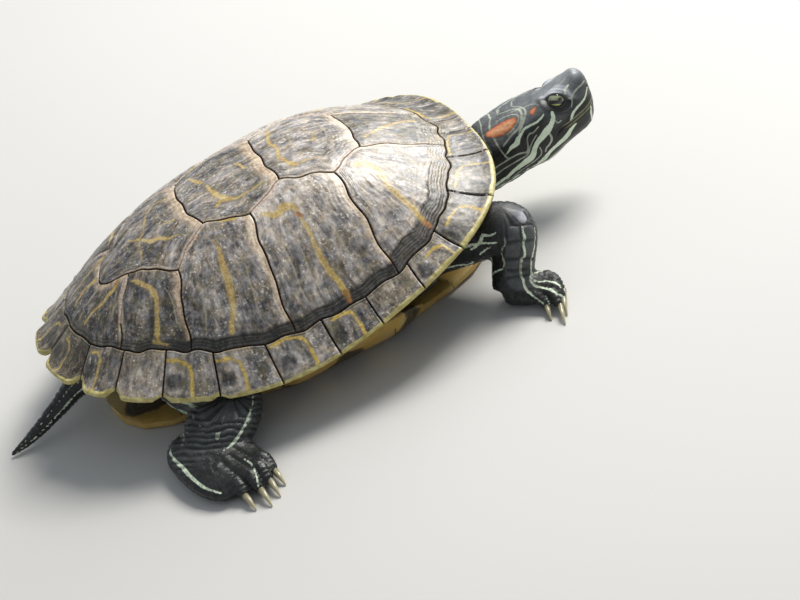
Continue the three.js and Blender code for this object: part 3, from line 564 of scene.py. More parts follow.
def dome_plate(kind, outline, oldest, side, look, seed):
    """One vertebral or costal plate. outline is its front, rear, inner and outer borders, each a chain of
    plan points. Inner and outer run from front to rear, front and rear from inner to outer. oldest is where
    its growth rings begin, as shares of the way back and outward. look is its warmth and its lightness at
    the inner and outer borders; the lightness is partly the plate's own and partly painted sheen of the sky."""
    plan = wander(coons(*outline))
    rows, columns = plan.shape[:2]
    base = dome_point(plan)
    points = base.reshape(-1, 3)
    borders = [base[0], base[-1], base[:, 0], base[:, -1]]
    distances = [line_distance(points, border[::2])[0] for border in borders]
    edge = np.minimum.reduce(distances)
    ring = ring_place(distances, int(oldest[0] * (rows - 1)) * columns + int(oldest[1] * (columns - 1)))
    back, out = spread(np.linspace(0, 1, rows), np.linspace(0, 1, columns))
    long_way = np.linalg.norm(base[:, -1] - base[:, 0], axis=-1).max()
    wide_way = np.linalg.norm(base[-1] - base[0], axis=-1).max()
    streak = np.stack([back * wide_way, out * long_way, np.full(len(back), seed * STREAK_STEP)], -1)
    both = (side,)
    if kind.startswith("vertebral"):
        streak = streak[:, [1, 0, 2]]
        both = (RIGHT, LEFT)
    worn = np.maximum.reduce([on_dome(points, WORN, kind, s) for s in both])
    band, crest, depth = growth_band(points, kind, distances, back, seed)
    lift = plate_relief(points, edge, ring, streak, seed, smooth(worn + 0.6)) - depth
    pale = pale_border(points, kind, distances, out, long_way, seed) * (1 - band)
    marks = {name: on_dome(points, table, kind, side)
             for name, table in (("mark", OCHRE), ("trace", TRACE), ("amber", AMBER))}
    # lightness from the inner to the outer border, partly painted sheen of the sky
    tone, light = look[0], mix(look[1], look[2], out)
    fields = plate_fields(len(points), edge=edge, ring=ring, band=band, crest=crest, pale=pale, streak=streak,
                          worn=worn, tone=tone, light=light, **marks)
    shrunk = plan + plate_gap(plan, edge, plan[rows // 2, columns // 2])
    top = dome_point(shrunk, lift.reshape(rows, columns)).reshape(-1, 3)
    return solid_plate(top, shrunk, fields)


def solid_plate(top, plan, fields):
    """Closes a plate with walls and a coarser under side that shares every few of the grid's points."""
    k, (rows, columns) = UNDER_STRIDE, plan.shape[:2]
    low_plan = plan[::k, ::k]
    low_rows, low_columns = low_plan.shape[:2]
    low = dome_point(low_plan, np.full((low_rows, low_columns), -PLATE_THICKNESS)).reshape(-1, 3)
    under = grid_faces(low_rows, low_columns)[:, ::-1] + len(top)
    ring = [(0, i) for i in range(columns - 1)] + [(j, columns - 1) for j in range(rows - 1)]
    ring += [(rows - 1, i) for i in range(columns - 1, 0, -1)] + [(j, 0) for j in range(rows - 1, 0, -1)]
    fans = []
    for start in range(0, len(ring), k):
        fine = [ring[(start + step) % len(ring)] for step in range(k + 1)]
        upper = [j * columns + i for j, i in fine]
        a, b = (len(top) + (j // k) * low_columns + i // k for j, i in (fine[0], fine[-1]))
        half = k // 2
        fans += [(upper[step + 1], upper[step], a) for step in range(half)]
        fans += [(upper[half], a, b)]
        fans += [(upper[step + 1], upper[step], b) for step in range(half, k)]
    own = {}
    for key, values in fields.items():
        grid = values.reshape(rows, columns, -1)[::k, ::k]
        own[key] = np.concatenate([values, grid.reshape(-1, *values.shape[1:])])
    own["under"][len(top):] = 1.0
    return np.concatenate([top, low]), [grid_faces(rows, columns), under, np.array(fans)], own


def costal_outline(index, side):
    """Front, rear, inner and outer border of a costal plate on the plan."""
    inner = [[V12, V2_POINT], [V2_POINT, V23, V3_POINT], [V3_POINT, V34, V4_POINT], [V4_POINT, V45]][index]
    inner = np.asarray(inner, float) * (1, side)
    down = even(62 - 8 * (index in (0, 3)))
    back = even([70, 56, 54, 42][index])
    outer = inner_edge(np.linspace(COSTAL_SEAMS[index], COSTAL_SEAMS[index + 1], back + 1), side)
    front = chain([inner[0], outer[0]], down)
    rear = chain([inner[-1], outer[-1]], down)
    return front, rear, chain(inner, back), outer


def cross_seam(index, count):
    """The seam in front of a vertebral plate, from right to left."""
    if index == 0:
        return inner_edge(np.linspace(-COSTAL_SEAMS[0], COSTAL_SEAMS[0], count + 1), LEFT)
    if index == 5:
        degrees = np.linspace(COSTAL_SEAMS[4], 360 - COSTAL_SEAMS[4], count + 1)
        beyond = degrees > 180
        return inner_edge(np.where(beyond, 360 - degrees, degrees), np.where(beyond, LEFT, RIGHT))
    x, y = [V12, V23, V34, V45][index - 1]
    bow = [2.5, -1, -3, V45_MIDDLE_X - V45[0]][index - 1]
    u = np.linspace(-1, 1, count + 1)
    return np.stack([x + bow * (1 - u * u), y * u], -1)


def vertebral_outline(index):
    """Front, rear, right and left border of a vertebral plate on the plan."""
    across, back = even(52), even(44)
    front, rear = cross_seam(index, across), cross_seam(index + 1, across)
    point = [None, V2_POINT, V3_POINT, V4_POINT, None][index]
    sides = []
    for corner, sign in ((0, RIGHT), (-1, LEFT)):
        stops = [front[corner], rear[corner]]
        if point:
            stops.insert(1, (point[0], sign * point[1]))
        sides.append(chain(stops, back))
    return front, rear, *sides


# ---------------------------------------------------------------- marginal plates
# Section from the inner top edge over the rim to the inner underside edge: share of the way out, depth.
RIM_SECTION = [
    (0, 0), (0.35, 0), (0.7, 0), (0.93, 0.1), (1, 1.3), (0.93, RIM_THICKNESS - 0.4),
    (0.6, RIM_THICKNESS), (0, RIM_THICKNESS + 0.3),
]
NOSE = 4  # the section's place that stands out furthest
SECTION_PLACES = np.concatenate([np.linspace(0, 3, 44), np.linspace(3, 5, 15)[1:], np.linspace(5, 7, 18)[1:]])
SECTION_SHARE, SECTION_DEPTH = along(RIM_SECTION, SECTION_PLACES).T
TOP_COLUMNS = len(SECTION_PLACES) // 2 + 6  # the section's columns of the upper face, with some to spare
# For each marginal from the front: the yellow hook's start and bend (shares of the way back), the bend's
# share of the way out, its width, the yellow rim's width, the plate's warmth and its lightness, which is
# partly its own and partly painted sheen of the sky.
MARGINALS = [
    (0.90, 0.17, 0.12, 1.0, 1.3, 0.20, 0.28), (0.88, 0.30, 0.22, 1.0, 1.9, 0.05, 0.28),
    (0.78, 0.28, 0.27, 1.5, 2.2, 0.05, 0.26), (0.60, 0.17, 0.32, 1.4, 1.8, 0.10, 0.42),
    (0.00, 0.00, 0.00, 0.0, 1.5, 0.80, 0.40), (0.80, 0.36, 0.12, 1.8, 1.3, 0.05, 0.33),
    (1.00, 0.38, 0.12, 1.7, 1.3, 0.00, 0.43), (1.00, 0.54, 0.22, 1.6, 1.4, 0.00, 0.41),
    (1.00, 0.46, 0.24, 1.6, 1.7, 0.05, 0.41), (0.00, 0.00, 0.00, 0.0, 1.8, 0.55, 0.54),
    (0.80, 0.54, 0.20, 1.3, 1.8, 0.25, 0.34), (0.75, 0.50, 0.30, 0.9, 1.7, 1.10, 0.16),
]
BLOT_AT = (0.8, 0.6)  # the dark spot on most marginals: shares of the way back and out
BLOT_RADIUS = 2.9
UNDER_BLOT_AT, UNDER_BLOT_RADIUS = 0.9, 6  # the dark spot on the under side, by the rear seam
INNER_RIDGE, INNER_RIDGES_WIDTH = 1.2, 3.6  # growth ridges along a marginal's inner border


def rim_lobe(degrees, share):
    """How far the rear rim stands out: lobes with a notch where two plates meet."""
    near = np.min([np.abs(degrees - s) for s in SEAMS_OUTER[8:]], axis=0)
    lobe = REAR_LOBE * smooth((degrees - 140) / 25) * smooth(near / 4)
    notch = REAR_NOTCH * smooth((degrees - 115) / 20) * smooth(1 - near / 2.6)
    return (lobe - notch) * smooth((share - 0.45) / 0.5)


def marginal_plan(outer_range, inner_range, side, steps):
    """Plan points of a marginal's section, swept from its front seam back to the rear one."""
    t = np.linspace(0, 1, steps + 1)
    outer = mix(*outer_range, t)
    a = wander(inner_edge(mix(*inner_range, t), side))
    b = plan_point(np.ones_like(t), np.radians(np.abs(outer)), side * np.where(outer < 0, -1, 1))
    reach = np.linalg.norm(b - a, axis=1)
    out = SECTION_SHARE[None] + rim_lobe(np.abs(outer)[:, None], SECTION_SHARE[None]) / reach[:, None]
    return a[:, None] + (b - a)[:, None] * out[..., None]


def section_column(share):
    """The column of the upper face that lies about that share of the way out."""
    return np.argmin(np.abs(SECTION_SHARE[:TOP_COLUMNS] - share))


def marginal_hook(base, number):
    """The yellow hook on a marginal's upper face, as marks."""
    start, bend, bend_out, width = MARGINALS[number][:4]
    if not width:
        return []
    hook = [(start, bend_out - 0.03), (mix(start, bend, 0.5), bend_out - 0.05), (bend + 0.1, bend_out),
            (bend, bend_out + 0.16), (bend + 0.02, 0.97)]
    line = [base[int(round(np.clip(back, 0, 1) * (len(base) - 1))), section_column(out)]
            for back, out in curve(hook, 5)]
    return [(np.array(line), width, width, width * 0.8, width)]


def marginal_spot(base, points, seed):
    """How dark a marginal is at its dark spot, and how light in the rings round it."""
    middle = base[int(BLOT_AT[0] * (len(base) - 1)), section_column(BLOT_AT[1])]
    away = np.linalg.norm(points - middle, axis=1) + 0.7 * noise(points, 4, seed + 5)
    return fade(away - BLOT_RADIUS, 1.2), waves(away, 2.6) * smooth(away - 3) * fade(away - 9, 3)


def marginal_plate(outer_range, inner_range, side, number, steps, seed):
    """A marginal with its relief and fields; number is its row in MARGINALS."""
    mark_width, rim_width, tone, light = MARGINALS[number][3:]
    plan = marginal_plan(outer_range, inner_range, side, steps)
    rows, columns = plan.shape[:2]
    base = dome_point(plan, np.broadcast_to(-SECTION_DEPTH, (rows, columns)))
    points = base.reshape(-1, 3)
    distances = [line_distance(points, line)[0] for line in (base[0, ::3], base[-1, ::3], base[::2, 0])]
    to_front, to_rear, to_inner = distances
    to_rim = line_distance(points, base[::2, np.searchsorted(SECTION_PLACES, NOSE)])[0]
    back, place = spread(np.linspace(0, 1, rows), SECTION_PLACES)
    edge = np.minimum.reduce([to_front, to_rear, np.where(place < NOSE, to_inner, FAR_FROM_EDGE)])
    ring = ring_place(distances, int(0.62 * (rows - 1)) * columns + int(0.3 * columns))
    streak = np.stack([back * 24, place * 6, np.full(len(back), seed * STREAK_STEP)], -1)
    under = smooth((place - NOSE) / 0.6)
    lift = plate_relief(points, edge, ring, streak, seed) * (1 - 0.6 * under)
    lift = lift * smooth(to_rim / 1.2) - 0.25 * fade(to_rim, 1.2)
    near_inner = fade(to_inner, INNER_RIDGES_WIDTH) * (1 - under)
    ridges = waves(to_inner, INNER_RIDGE)
    lift = lift - 0.16 * near_inner * ridges
    spot, halo = (v * (mark_width > 0) for v in marginal_spot(base, points, seed))
    # painted highlight along the ridges by the inner border, with the plate's own pale rings round its spot
    crest = np.maximum(near_inner * (1 - ridges), 0.5 * halo)
    blot = np.linalg.norm(points - base[-1, int(UNDER_BLOT_AT * columns)], axis=1)
    fields = plate_fields(
        len(points), edge=edge, ring=ring, streak=streak, under=under, tone=tone, light=light,
        band=np.maximum(near_inner * 0.35, 0.6 * spot * (1 - under)), crest=0.6 * crest * (1 - under),
        pale=0.5 * fade(to_inner, 1.4) * (1 - under), mark=painted(points, marginal_hook(base, number)),
        trace=np.where(under > 0, UNDER_BLOT_RADIUS - blot, UNPAINTED),
        rim=to_rim - rim_width * (1 + 0.35 * noise(points, 6, seed)))
    top = dome_point(plan, lift.reshape(rows, columns) - SECTION_DEPTH)
    points, faces = ring_mesh(top + plate_gap(base, edge, base[rows // 2][None]))
    return points, faces, {key: np.concatenate([v, v[:2] * 0]) for key, v in fields.items()}


# ---------------------------------------------------------------- plastron
PLASTRON_THICKNESS = 4.6
PLASTRON_LOBES = [
    (-94, 9), (-92, 20), (-86, 31), (-74, 39), (-58, 43), (-44, 46), (-30, 49), (0, 50), (30, 50),
    (52, 49), (66, 45), (80, 39), (90, 30), (95, 18), (96.5, 8),
]
BRIDGE_X = (-34, 50)
BRIDGE_TOP = (75, 21.5)  # to the side, up
# Seams across the plastron, from the midline out: (forward, to the side).
PLASTRON_SEAMS = [
    [(83, 0), (88, 14), (93, 24)], [(58, 0), (62, 20), (68, 46)], [(22, 0), (25, 30), (30, 52), (31, 70)],
    [(-20, 0), (-18, 30), (-22, 50), (-24, 62)], [(-58, 0), (-62, 20), (-70, 42)], [(-96, 0), (98, 0)],
]
# Dark blots: forward, to the side, radius.
PLASTRON_BLOTS = [
    (89, 8, 7), (72, 18, 11), (42, 24, 13), (3, 25, 14), (-40, 22, 13), (-77, 15, 10),
    (38, 60, 8), (6, 63, 8), (-18, 59, 6),
]
PLASTRON_GROOVE = 0.5


def plastron_fields(points):
    """Distance to the nearest seam, and distance inside the nearest blot."""
    plan = np.abs(points) * (0, 1, 0) + points * (1, 0, 0)
    seams = [line_distance(plan, np.array([(x, y, 0.0) for x, y in line]))[0] for line in PLASTRON_SEAMS]
    wobble = 2.4 * noise(points, 6, 51) + 1.0 * noise(points, 2.4, 52)
    blot = np.full(len(points), UNPAINTED)
    for x, y, radius in PLASTRON_BLOTS:
        away = np.hypot((points[:, 0] - x) * 0.8, np.abs(points[:, 1]) - y)
        blot = np.maximum(blot, radius - away + wobble)
    return np.minimum.reduce(seams), blot


def plastron_body():
    """Rings of the flat plate, from its rear end to the front."""
    side = chain([(-2.6, 0), (0, 1.6), (-0.6, PLASTRON_THICKNESS - 0.8), (-4, PLASTRON_THICKNESS)], 12)
    rings = []
    for x in mix(PLASTRON_LOBES[0][0], PLASTRON_LOBES[-1][0], (1 - np.cos(np.linspace(0, np.pi, 190))) / 2):
        w = look_up(PLASTRON_LOBES, x)
        right = np.column_stack([w + side[:, 0], side[:, 1]])
        top = np.column_stack([np.linspace(w - 4, 4 - w, 20)[1:-1], np.full(18, PLASTRON_THICKNESS)])
        low = np.column_stack([np.linspace(2.6 - w, w - 2.6, 90)[1:-1], np.zeros(88)])
        loop = np.concatenate([right, top, right[::-1] * (-1, 1), low])
        rings.append(np.column_stack([np.full(len(loop), x), loop]))
    return np.array(rings)


def bridge_body(side):
    """Rings of the bridge that joins the plastron to the marginals, from its rear end to the front."""
    rings = []
    for t in np.linspace(0, 1, 76):
        full = smooth(min(t, 1 - t) / 0.22)
        low = mix(46, 44, full)
        y, z = mix(53, BRIDGE_TOP[0], full), mix(7, BRIDGE_TOP[1], full)
        outer = [(low, 1.2), (mix(50, 54, full), 1.6), (mix(52, 66, full), mix(4, 8.6, full)), (y, z)]
        inner = [(y - 2.4, z + 0.8), (mix(50, 62, full), mix(6, 11.4, full)), (mix(48, 52, full), 4.4),
                 (low - 1, 3.4)]
        loop = np.concatenate([curve(outer, 14), chain(inner, 12)])
        rings.append(np.column_stack([np.full(len(loop), mix(*BRIDGE_X, t)), side * loop[:, 0], loop[:, 1]]))
    return np.array(rings)


def ring_mesh(rings):
    """Points and faces of a body swept through rings of equally many points, closed by fans."""
    rows, columns = rings.shape[:2]
    points = np.concatenate([rings.reshape(-1, 3), rings[0].mean(0)[None], rings[-1].mean(0)[None]])
    i = np.arange(columns)
    following = (i + 1) % columns
    first, last, last_row = rows * columns, rows * columns + 1, (rows - 1) * columns
    caps = [np.stack([np.full(columns, first), following, i], -1),
            np.stack([np.full(columns, last), last_row + i, last_row + following], -1)]
    return points, [grid_faces(rows, columns, wrap=True), *caps]


def outward(points, faces):
    """The faces, turned round if they face inward."""
    volume = 0.0
    for f in faces:
        for k in range(1, f.shape[1] - 1):
            a, b, c = points[f[:, 0]], points[f[:, k]], points[f[:, k + 1]]
            volume += np.sum(np.cross(a, b) * c)
    return faces if volume > 0 else [f[:, ::-1] for f in faces]


def joined(bodies):
    """Several bodies as one list of points and faces, each turned outward."""
    points, faces, count = [], [], 0
    for own_points, own_faces in bodies:
        faces += [f + count for f in outward(own_points, own_faces)]
        points.append(own_points)
        count += len(own_points)
    return np.concatenate(points), faces


# ---------------------------------------------------------------- materials
class Recipe:
    """A node material, built up from the fields of the mesh and from noise. Sizes are in mm."""

    def __init__(self, name, **constants):
        self.material = bpy.data.materials.new(name)
        self.material.use_nodes = True
        self.tree = self.material.node_tree
        self.shader = self.tree.nodes["Principled BSDF"]
        for key, value in constants.items():
            self.shader.inputs[key.replace("_", " ")].default_value = value
        self.place = self.make("TexCoord").outputs["Object"]

    def make(self, kind, inputs=(), **settings):
        node = self.tree.nodes.new("ShaderNode" + kind)
        for key, value in settings.items():
            setattr(node, key, value)
        for key, value in dict(inputs).items():
            self.feed(node.inputs[key], value)
        return node

    def feed(self, socket, value):
        if isinstance(value, bpy.types.NodeSocket):
            self.tree.links.new(value, socket)
        else:
            socket.default_value = value

    def field(self, name):
        return self.make("Attribute", attribute_name=name).outputs["Fac"]

    def stretched(self, name, share):
        """Places from a vector field, drawn out along its second axis."""
        at = self.make("Attribute", attribute_name=name).outputs["Vector"]
        return self.make("VectorMath", {0: at, 1: (1.0, share, 1.0)}, operation="MULTIPLY").outputs[0]

    def math(self, operation, *values, clamp=False):
        return self.make("Math", enumerate(values), operation=operation, use_clamp=clamp).outputs[0]

    def times(self, first, second, plus=None, **settings):
        """first times second, and plus added to that."""
        if plus is None:
            return self.math("MULTIPLY", first, second, **settings)
        return self.math("MULTIPLY_ADD", first, second, plus, **settings)

    def plus(self, first, second):
        return self.math("ADD", first, second)

    def step(self, value, low, high, to_low=0.0, to_high=1.0):
        """A smooth step: to_low below low, to_high above high. low may be the larger one."""
        if low > high:
            low, high, to_low, to_high = high, low, to_high, to_low
        inputs = {"Value": value, "From Min": low, "From Max": high, "To Min": to_low, "To Max": to_high}
        return self.make("MapRange", inputs, interpolation_type="SMOOTHSTEP").outputs[0]

    def noise(self, size, detail=3.0, at=None, rough=0.5):
        scale = 1 / size if at is not None else 1 / (size * MM)
        inputs = {"Vector": at or self.place, "Scale": scale, "Detail": detail, "Roughness": rough}
        return self.make("TexNoise", inputs).outputs["Fac"]

    def mix(self, share, first, second):
        """A colour; first and second are sockets or sRGB hex numbers."""
        node = self.make("Mix", data_type="RGBA")
        self.feed(node.inputs[0], share)
        for socket, colour in ((node.inputs[6], first), (node.inputs[7], second)):
            self.feed(socket, colour if isinstance(colour, bpy.types.NodeSocket) else hex_colour(colour))
        return node.outputs[2]

    def ramp(self, value, *stops):
        """A colour from a value, through (place, hex) stops."""
        node = self.make("ValToRGB", {"Fac": value})
        elements = node.color_ramp.elements
        while len(elements) < len(stops):
            elements.new(0.5)
        for element, (place, colour) in zip(elements, stops):
            element.position = place
            element.color = hex_colour(colour)
        return node.outputs[0]

    def finish(self, colour, roughness, height, strength, depth=0.2):
        """The material, with that colour, that roughness and bumps depth mm high."""
        self.feed(self.shader.inputs["Base Color"], colour)
        self.feed(self.shader.inputs["Roughness"], roughness)
        bump = self.make("Bump", {"Height": height, "Strength": strength, "Distance": depth * MM})
        self.feed(self.shader.inputs["Normal"], bump.outputs[0])
        return self.material


def hex_colour(number):
    """Linear colour of an sRGB hex number."""
    parts = [(number >> shift & 255) / 255 for shift in (16, 8, 0)]
    return (*[p / 12.92 if p <= 0.04045 else ((p + 0.055) / 1.055) ** 2.4 for p in parts], 1.0)


# Colours of the plates, from dark to light.
COOL_GREY = ((0.08, 0x2B2A2D), (0.22, 0x4A494B), (0.36, 0x696768), (0.5, 0x878382), (0.65, 0xA7A19E),
             (0.82, 0xC6C0BB))
WARM_GREY = ((0.08, 0x383027), (0.22, 0x5B5143), (0.36, 0x7C7162), (0.5, 0x998C7C), (0.65, 0xB6A99A),
             (0.82, 0xD2C7B8))
BEIGE = ((0.25, 0x8E7861), (0.42, 0xB09A80), (0.6, 0xCCB79C), (0.8, 0xE2D3BC))
PALE_SPECKS = ((0.2, 0xA39B8C), (0.7, 0xF0EAE0))
ALGAE_GREEN = 0x75704B
GROWTH_BLACK = 0x0D0D0A
# Painted highlight on the crests of growth ridges, also the colour of the pale rings round a marginal's spot.
CREST_HIGHLIGHT_GREY, CREST_HIGHLIGHT_YELLOW, CREST_HIGHLIGHT_DIM = 0xD2CFC8, 0xCDB478, 0x8A8674
OCHRE_DULL = ((0.38, 0x9C7F45), (0.5, 0xB4975A), (0.6, 0xC6B07A), (0.72, 0xD8CBA4))
OCHRE_CLEAR = ((0.35, 0xB08E2C), (0.65, 0xD8BC55))
OCHRE_HALO, OLD_GROWTH = 0x93835F, 0xBDB49A
ORANGE_SPOT = ((0.35, 0x80502A), (0.65, 0xB98240))
RIM_YELLOW = ((0.3, 0x9E8F48), (0.7, 0xD3C988))
WORN_PINK = ((0.35, 0xA48D80), (0.65, 0xD9CABD))
SEAM_BROWN = ((0.4, 0x1B120B), (0.6, 0x3C2618))
UNDERSIDE_YELLOW, UNDERSIDE_BLOT = 0xAE9A50, 0x23221C


def plate_ground(m, fine, streaks, stripes):
    """A plate's mottled colour, and how light it is, its lightness partly painted sheen of the sky."""
    cloud = m.noise(13, 4.0)
    ring = m.field("ring")
    wave = m.math("SINE", m.times(m.times(ring, float(RING_COUNT), m.times(cloud, 1.4)), 2 * np.pi))
    grown = m.times(wave, m.step(ring, 0.35, 0.8))
    value = m.times(cloud, 0.55, m.plus(stripes, -1.17))
    value = m.times(streaks, 0.98, m.times(fine, 0.25, value))
    # the light field lifts the value: partly the plate's own lightness, partly painted sheen of the sky
    value = m.times(grown, 0.03, m.plus(value, m.plus(m.field("light"), -0.22)))
    patch = m.times(m.noise(4.6, 4.0), 5.0, m.plus(m.field("tone"), -2.2))
    base = m.mix(m.times(patch, 0.9, clamp=True), m.ramp(value, *COOL_GREY), m.ramp(value, *WARM_GREY))
    algae = m.times(m.step(m.noise(7, 4.0), 0.5, 0.68, 0.0, 0.4), m.step(value, 0.62, 0.35))
    base = m.mix(algae, base, ALGAE_GREEN)
    speck = m.times(m.step(m.noise(1.25, 2.0), 0.59, 0.67, 0.0, 0.9), m.step(m.noise(9, 2.0), 0.35, 0.6))
    return m.mix(speck, base, m.ramp(value, *PALE_SPECKS)), value


def plate_borders(m, base, value, fine, streaks):
    """The pale borders, and the dark growth bands with painted highlights on the crests of their ridges."""
    pale = m.times(m.field("pale"), m.step(m.noise(3.5, 4.0), 0.25, 0.5, 0.55, 1.0))
    base = m.mix(pale, base, m.ramp(m.times(fine, 0.5, m.times(value, 0.8)), *BEIGE))
    base = m.mix(m.times(m.field("band"), m.step(streaks, 0.2, 0.75, 1.0, 0.9)), base, GROWTH_BLACK)
    # painted highlight on the ridges' crests, and a marginal's own pale rings round its spot
    crest = m.times(m.field("crest"), m.step(m.noise(2.4, 3.0), 0.3, 0.55, 0.4, 0.95))
    lit = m.mix(m.step(m.noise(6, 3.0), 0.42, 0.6), CREST_HIGHLIGHT_GREY, CREST_HIGHLIGHT_YELLOW)
    return m.mix(crest, base, m.mix(m.step(value, 0.5, 0.2), lit, CREST_HIGHLIGHT_DIM))


def plate_marks(m, base, fine, streaks, stripes, jitter):
    """The yellow marks, traces of old growth, orange spots and the yellow rim."""
    ragged = m.times(m.noise(3.0, 3.0), 2.2, -1.1)
    mark = m.plus(m.field("mark"), m.plus(jitter, ragged))
    base = m.mix(m.step(mark, -1.1, 0.2, 0.0, 0.45), base, OCHRE_HALO)
    ochre = m.ramp(m.times(fine, 0.5, m.times(stripes, 0.6)), *OCHRE_DULL)
    # clearer on the marginals, and where a plate is young and dark
    of_rim = m.step(m.field("rim"), 30, 28, 0.0, 0.75)
    young = m.times(m.step(m.field("ring"), 0.3, 0.95), m.step(m.field("light"), 0.6, 0.4, 0.2, 0.6))
    ochre = m.mix(m.math("MAXIMUM", of_rim, young), ochre, m.ramp(fine, *OCHRE_CLEAR))
    base = m.mix(m.times(m.step(mark, -0.25, 0.45), m.step(streaks, 0.3, 0.55, 0.7, 0.97)), base, ochre)
    trace = m.times(m.step(m.plus(m.field("trace"), jitter), -0.25, 0.2), 0.38)
    base = m.mix(trace, base, OLD_GROWTH)
    amber = m.step(m.plus(m.field("amber"), jitter), -0.6, 0.5, 0.0, 0.8)
    base = m.mix(amber, base, m.ramp(m.noise(1.6, 2.0), *ORANGE_SPOT))
    rim = m.step(m.plus(m.field("rim"), jitter), 0.35, -0.25)
    return m.mix(m.times(rim, 0.92), base, m.ramp(m.noise(2.6, 3.0), *RIM_YELLOW))


def plate_seams(m, base, fine, jitter):
    """Seams, dark brown or grown over and pale, and the under side."""
    worn = m.step(m.times(jitter, 1.6, m.field("worn")), -0.6, 0.5)
    base = m.mix(m.times(worn, 0.75), base, m.ramp(fine, *WORN_PINK))
    seam = m.step(m.times(m.noise(1.2, 2.0), 0.35, m.plus(m.field("edge"), -0.17)), 0.6, 0.18)
    base = m.mix(m.times(seam, m.times(worn, -0.72, 0.93)), base, m.ramp(m.noise(3, 2.0), *SEAM_BROWN))
    below = m.mix(m.step(m.field("trace"), -0.6, 0.6), UNDERSIDE_YELLOW, UNDERSIDE_BLOT)
    return m.mix(m.step(m.field("under"), 0.25, 0.75), base, below)


def shell_material():
    m = Recipe("scute_keratin", Specular_IOR_Level=0.5, Coat_Weight=0.12, Coat_Roughness=0.25)
    fine = m.noise(1.1, 3.0)
    # short streaks and broader stripes run down each costal
    streaks = m.noise(1.9, 3.0, at=m.stretched("streak", 0.62), rough=0.65)
    stripes = m.noise(4.2, 3.0, at=m.stretched("streak", 0.36))
    jitter = m.times(m.noise(1.0, 3.0), 0.9, -0.45)
    base, value = plate_ground(m, fine, streaks, stripes)
    base = plate_borders(m, base, value, fine, streaks)
    base = plate_marks(m, base, fine, streaks, stripes, jitter)
    base = plate_seams(m, base, fine, jitter)
    rough = m.step(m.noise(3, 4.0), 0.2, 0.8, 0.30, 0.48)
    return m.finish(base, rough, m.times(streaks, 0.6, m.times(fine, 0.6)), 0.5)


def plastron_material():
    m = Recipe("plastron_keratin", Specular_IOR_Level=0.5)
    blot = m.field("trace")
    base = m.ramp(m.noise(9, 5.0), (0.25, 0xA27F3A), (0.5, 0xBE9F55), (0.75, 0xCDB878))
    base = m.mix(m.step(m.noise(18, 3.0), 0.45, 0.75, 0.0, 0.55), base, 0x7A4F25)
    ringed = m.step(m.math("SINE", m.times(blot, 2.1)), 0.1, 0.9)
    base = m.mix(m.step(blot, -0.5, 0.8, 0.0, 0.88), base, m.mix(ringed, 0x1F1C16, 0x4A3F2A))
    base = m.mix(m.step(m.field("edge"), 0.6, 0.2, 0.0, 0.9), base, 0x2A2115)
    return m.finish(base, m.step(m.noise(5, 3.0), 0.2, 0.8, 0.36, 0.55), m.noise(0.8, 4.0), 0.3)


def floor_material():
    m = Recipe("floor_matte", Roughness=0.9)
    colour = m.ramp(m.noise(400, 2.0), (0.3, 0xC9C8C5), (0.7, 0xCDCCC9))
    return m.finish(colour, 0.85, m.noise(3, 2.0), 0.02)


# ---------------------------------------------------------------- building the shell
COSTAL_OLDEST = [(0.62, 0.24), (0.66, 0.22), (0.66, 0.2), (0.6, 0.2)]
VERTEBRAL_OLDEST = (0.72, 0.5)
NUCHAL_LIKE = 4  # the row of MARGINALS, one without a hook, that the nuchal plate follows
# A plate's warmth, then its lightness at the inner and outer borders: partly the plate's own, partly
# painted sheen of the sky, lighter towards the front and the top.
COSTAL_LOOK_WITH_SHEEN = [(0.25, 0.53, 0.56), (0.2, 0.68, 0.38), (0.1, 0.48, 0.38), (0.1, 0.3, 0.22)]
VERTEBRAL_LOOK_WITH_SHEEN = [
    (0.4, 0.37, 0.37), (0.05, 0.53, 0.53), (0.0, 0.42, 0.42), (0.1, 0.39, 0.39), (0.2, 0.28, 0.28),
]


def add_plate(name, plate, keratin):
    points, faces, fields = plate
    make_piece(f"scute_{name}", points, outward(points, faces), keratin, [name], fields)


def build_shell(keratin, plastron_keratin):
    for i in range(5):
        name = f"vertebral_{i + 1}"
        plate = dome_plate(name, vertebral_outline(i), VERTEBRAL_OLDEST, LEFT, VERTEBRAL_LOOK_WITH_SHEEN[i], 20 + i)
        add_plate(name, plate, keratin)
    for letter, side in SIDES.items():
        for i in range(4):
            seed = 30 + i + 10 * (side > 0)
            outline = costal_outline(i, side)
            plate = dome_plate(f"costal_{i + 1}", outline, COSTAL_OLDEST[i], side, COSTAL_LOOK_WITH_SHEEN[i], seed)
            add_plate(f"costal_{letter}{i + 1}", plate, keratin)
        for i in range(12):
            ends = SEAMS_OUTER[i:i + 2], SEAMS_INNER[i:i + 2]
            plate = marginal_plate(*ends, side, i, 44, 60 + i + 20 * (side > 0))
            add_plate(f"marginal_{letter}{i + 1}", plate, keratin)
    ends = (-SEAMS_OUTER[0], SEAMS_OUTER[0]), (-SEAMS_INNER[0], SEAMS_INNER[0])
    add_plate("nuchal", marginal_plate(*ends, LEFT, NUCHAL_LIKE, 24, 59), keratin)
    points, faces = joined([ring_mesh(r) for r in (plastron_body(), bridge_body(RIGHT), bridge_body(LEFT))])
    edge, blot = plastron_fields(points)
    groove = np.where(points[:, 2] < 0.8, PLASTRON_GROOVE * fade(edge, 0.6), 0)
    fields = {"edge": edge, "trace": blot}
    make_piece("plastron_plate", points + (0, 0, 1) * groove[:, None], faces, plastron_keratin, ["plastron"],
               fields)


# ---------------------------------------------------------------- tubes of flesh
TUBE_SQUARENESS = 2.2  # 2 would be an ellipse


def rounded(c, s, squareness):
    """How far out a section lies in each direction: 1 along its axes, more between them."""
    return (np.abs(c) ** squareness + np.abs(s) ** squareness) ** (-1 / squareness)


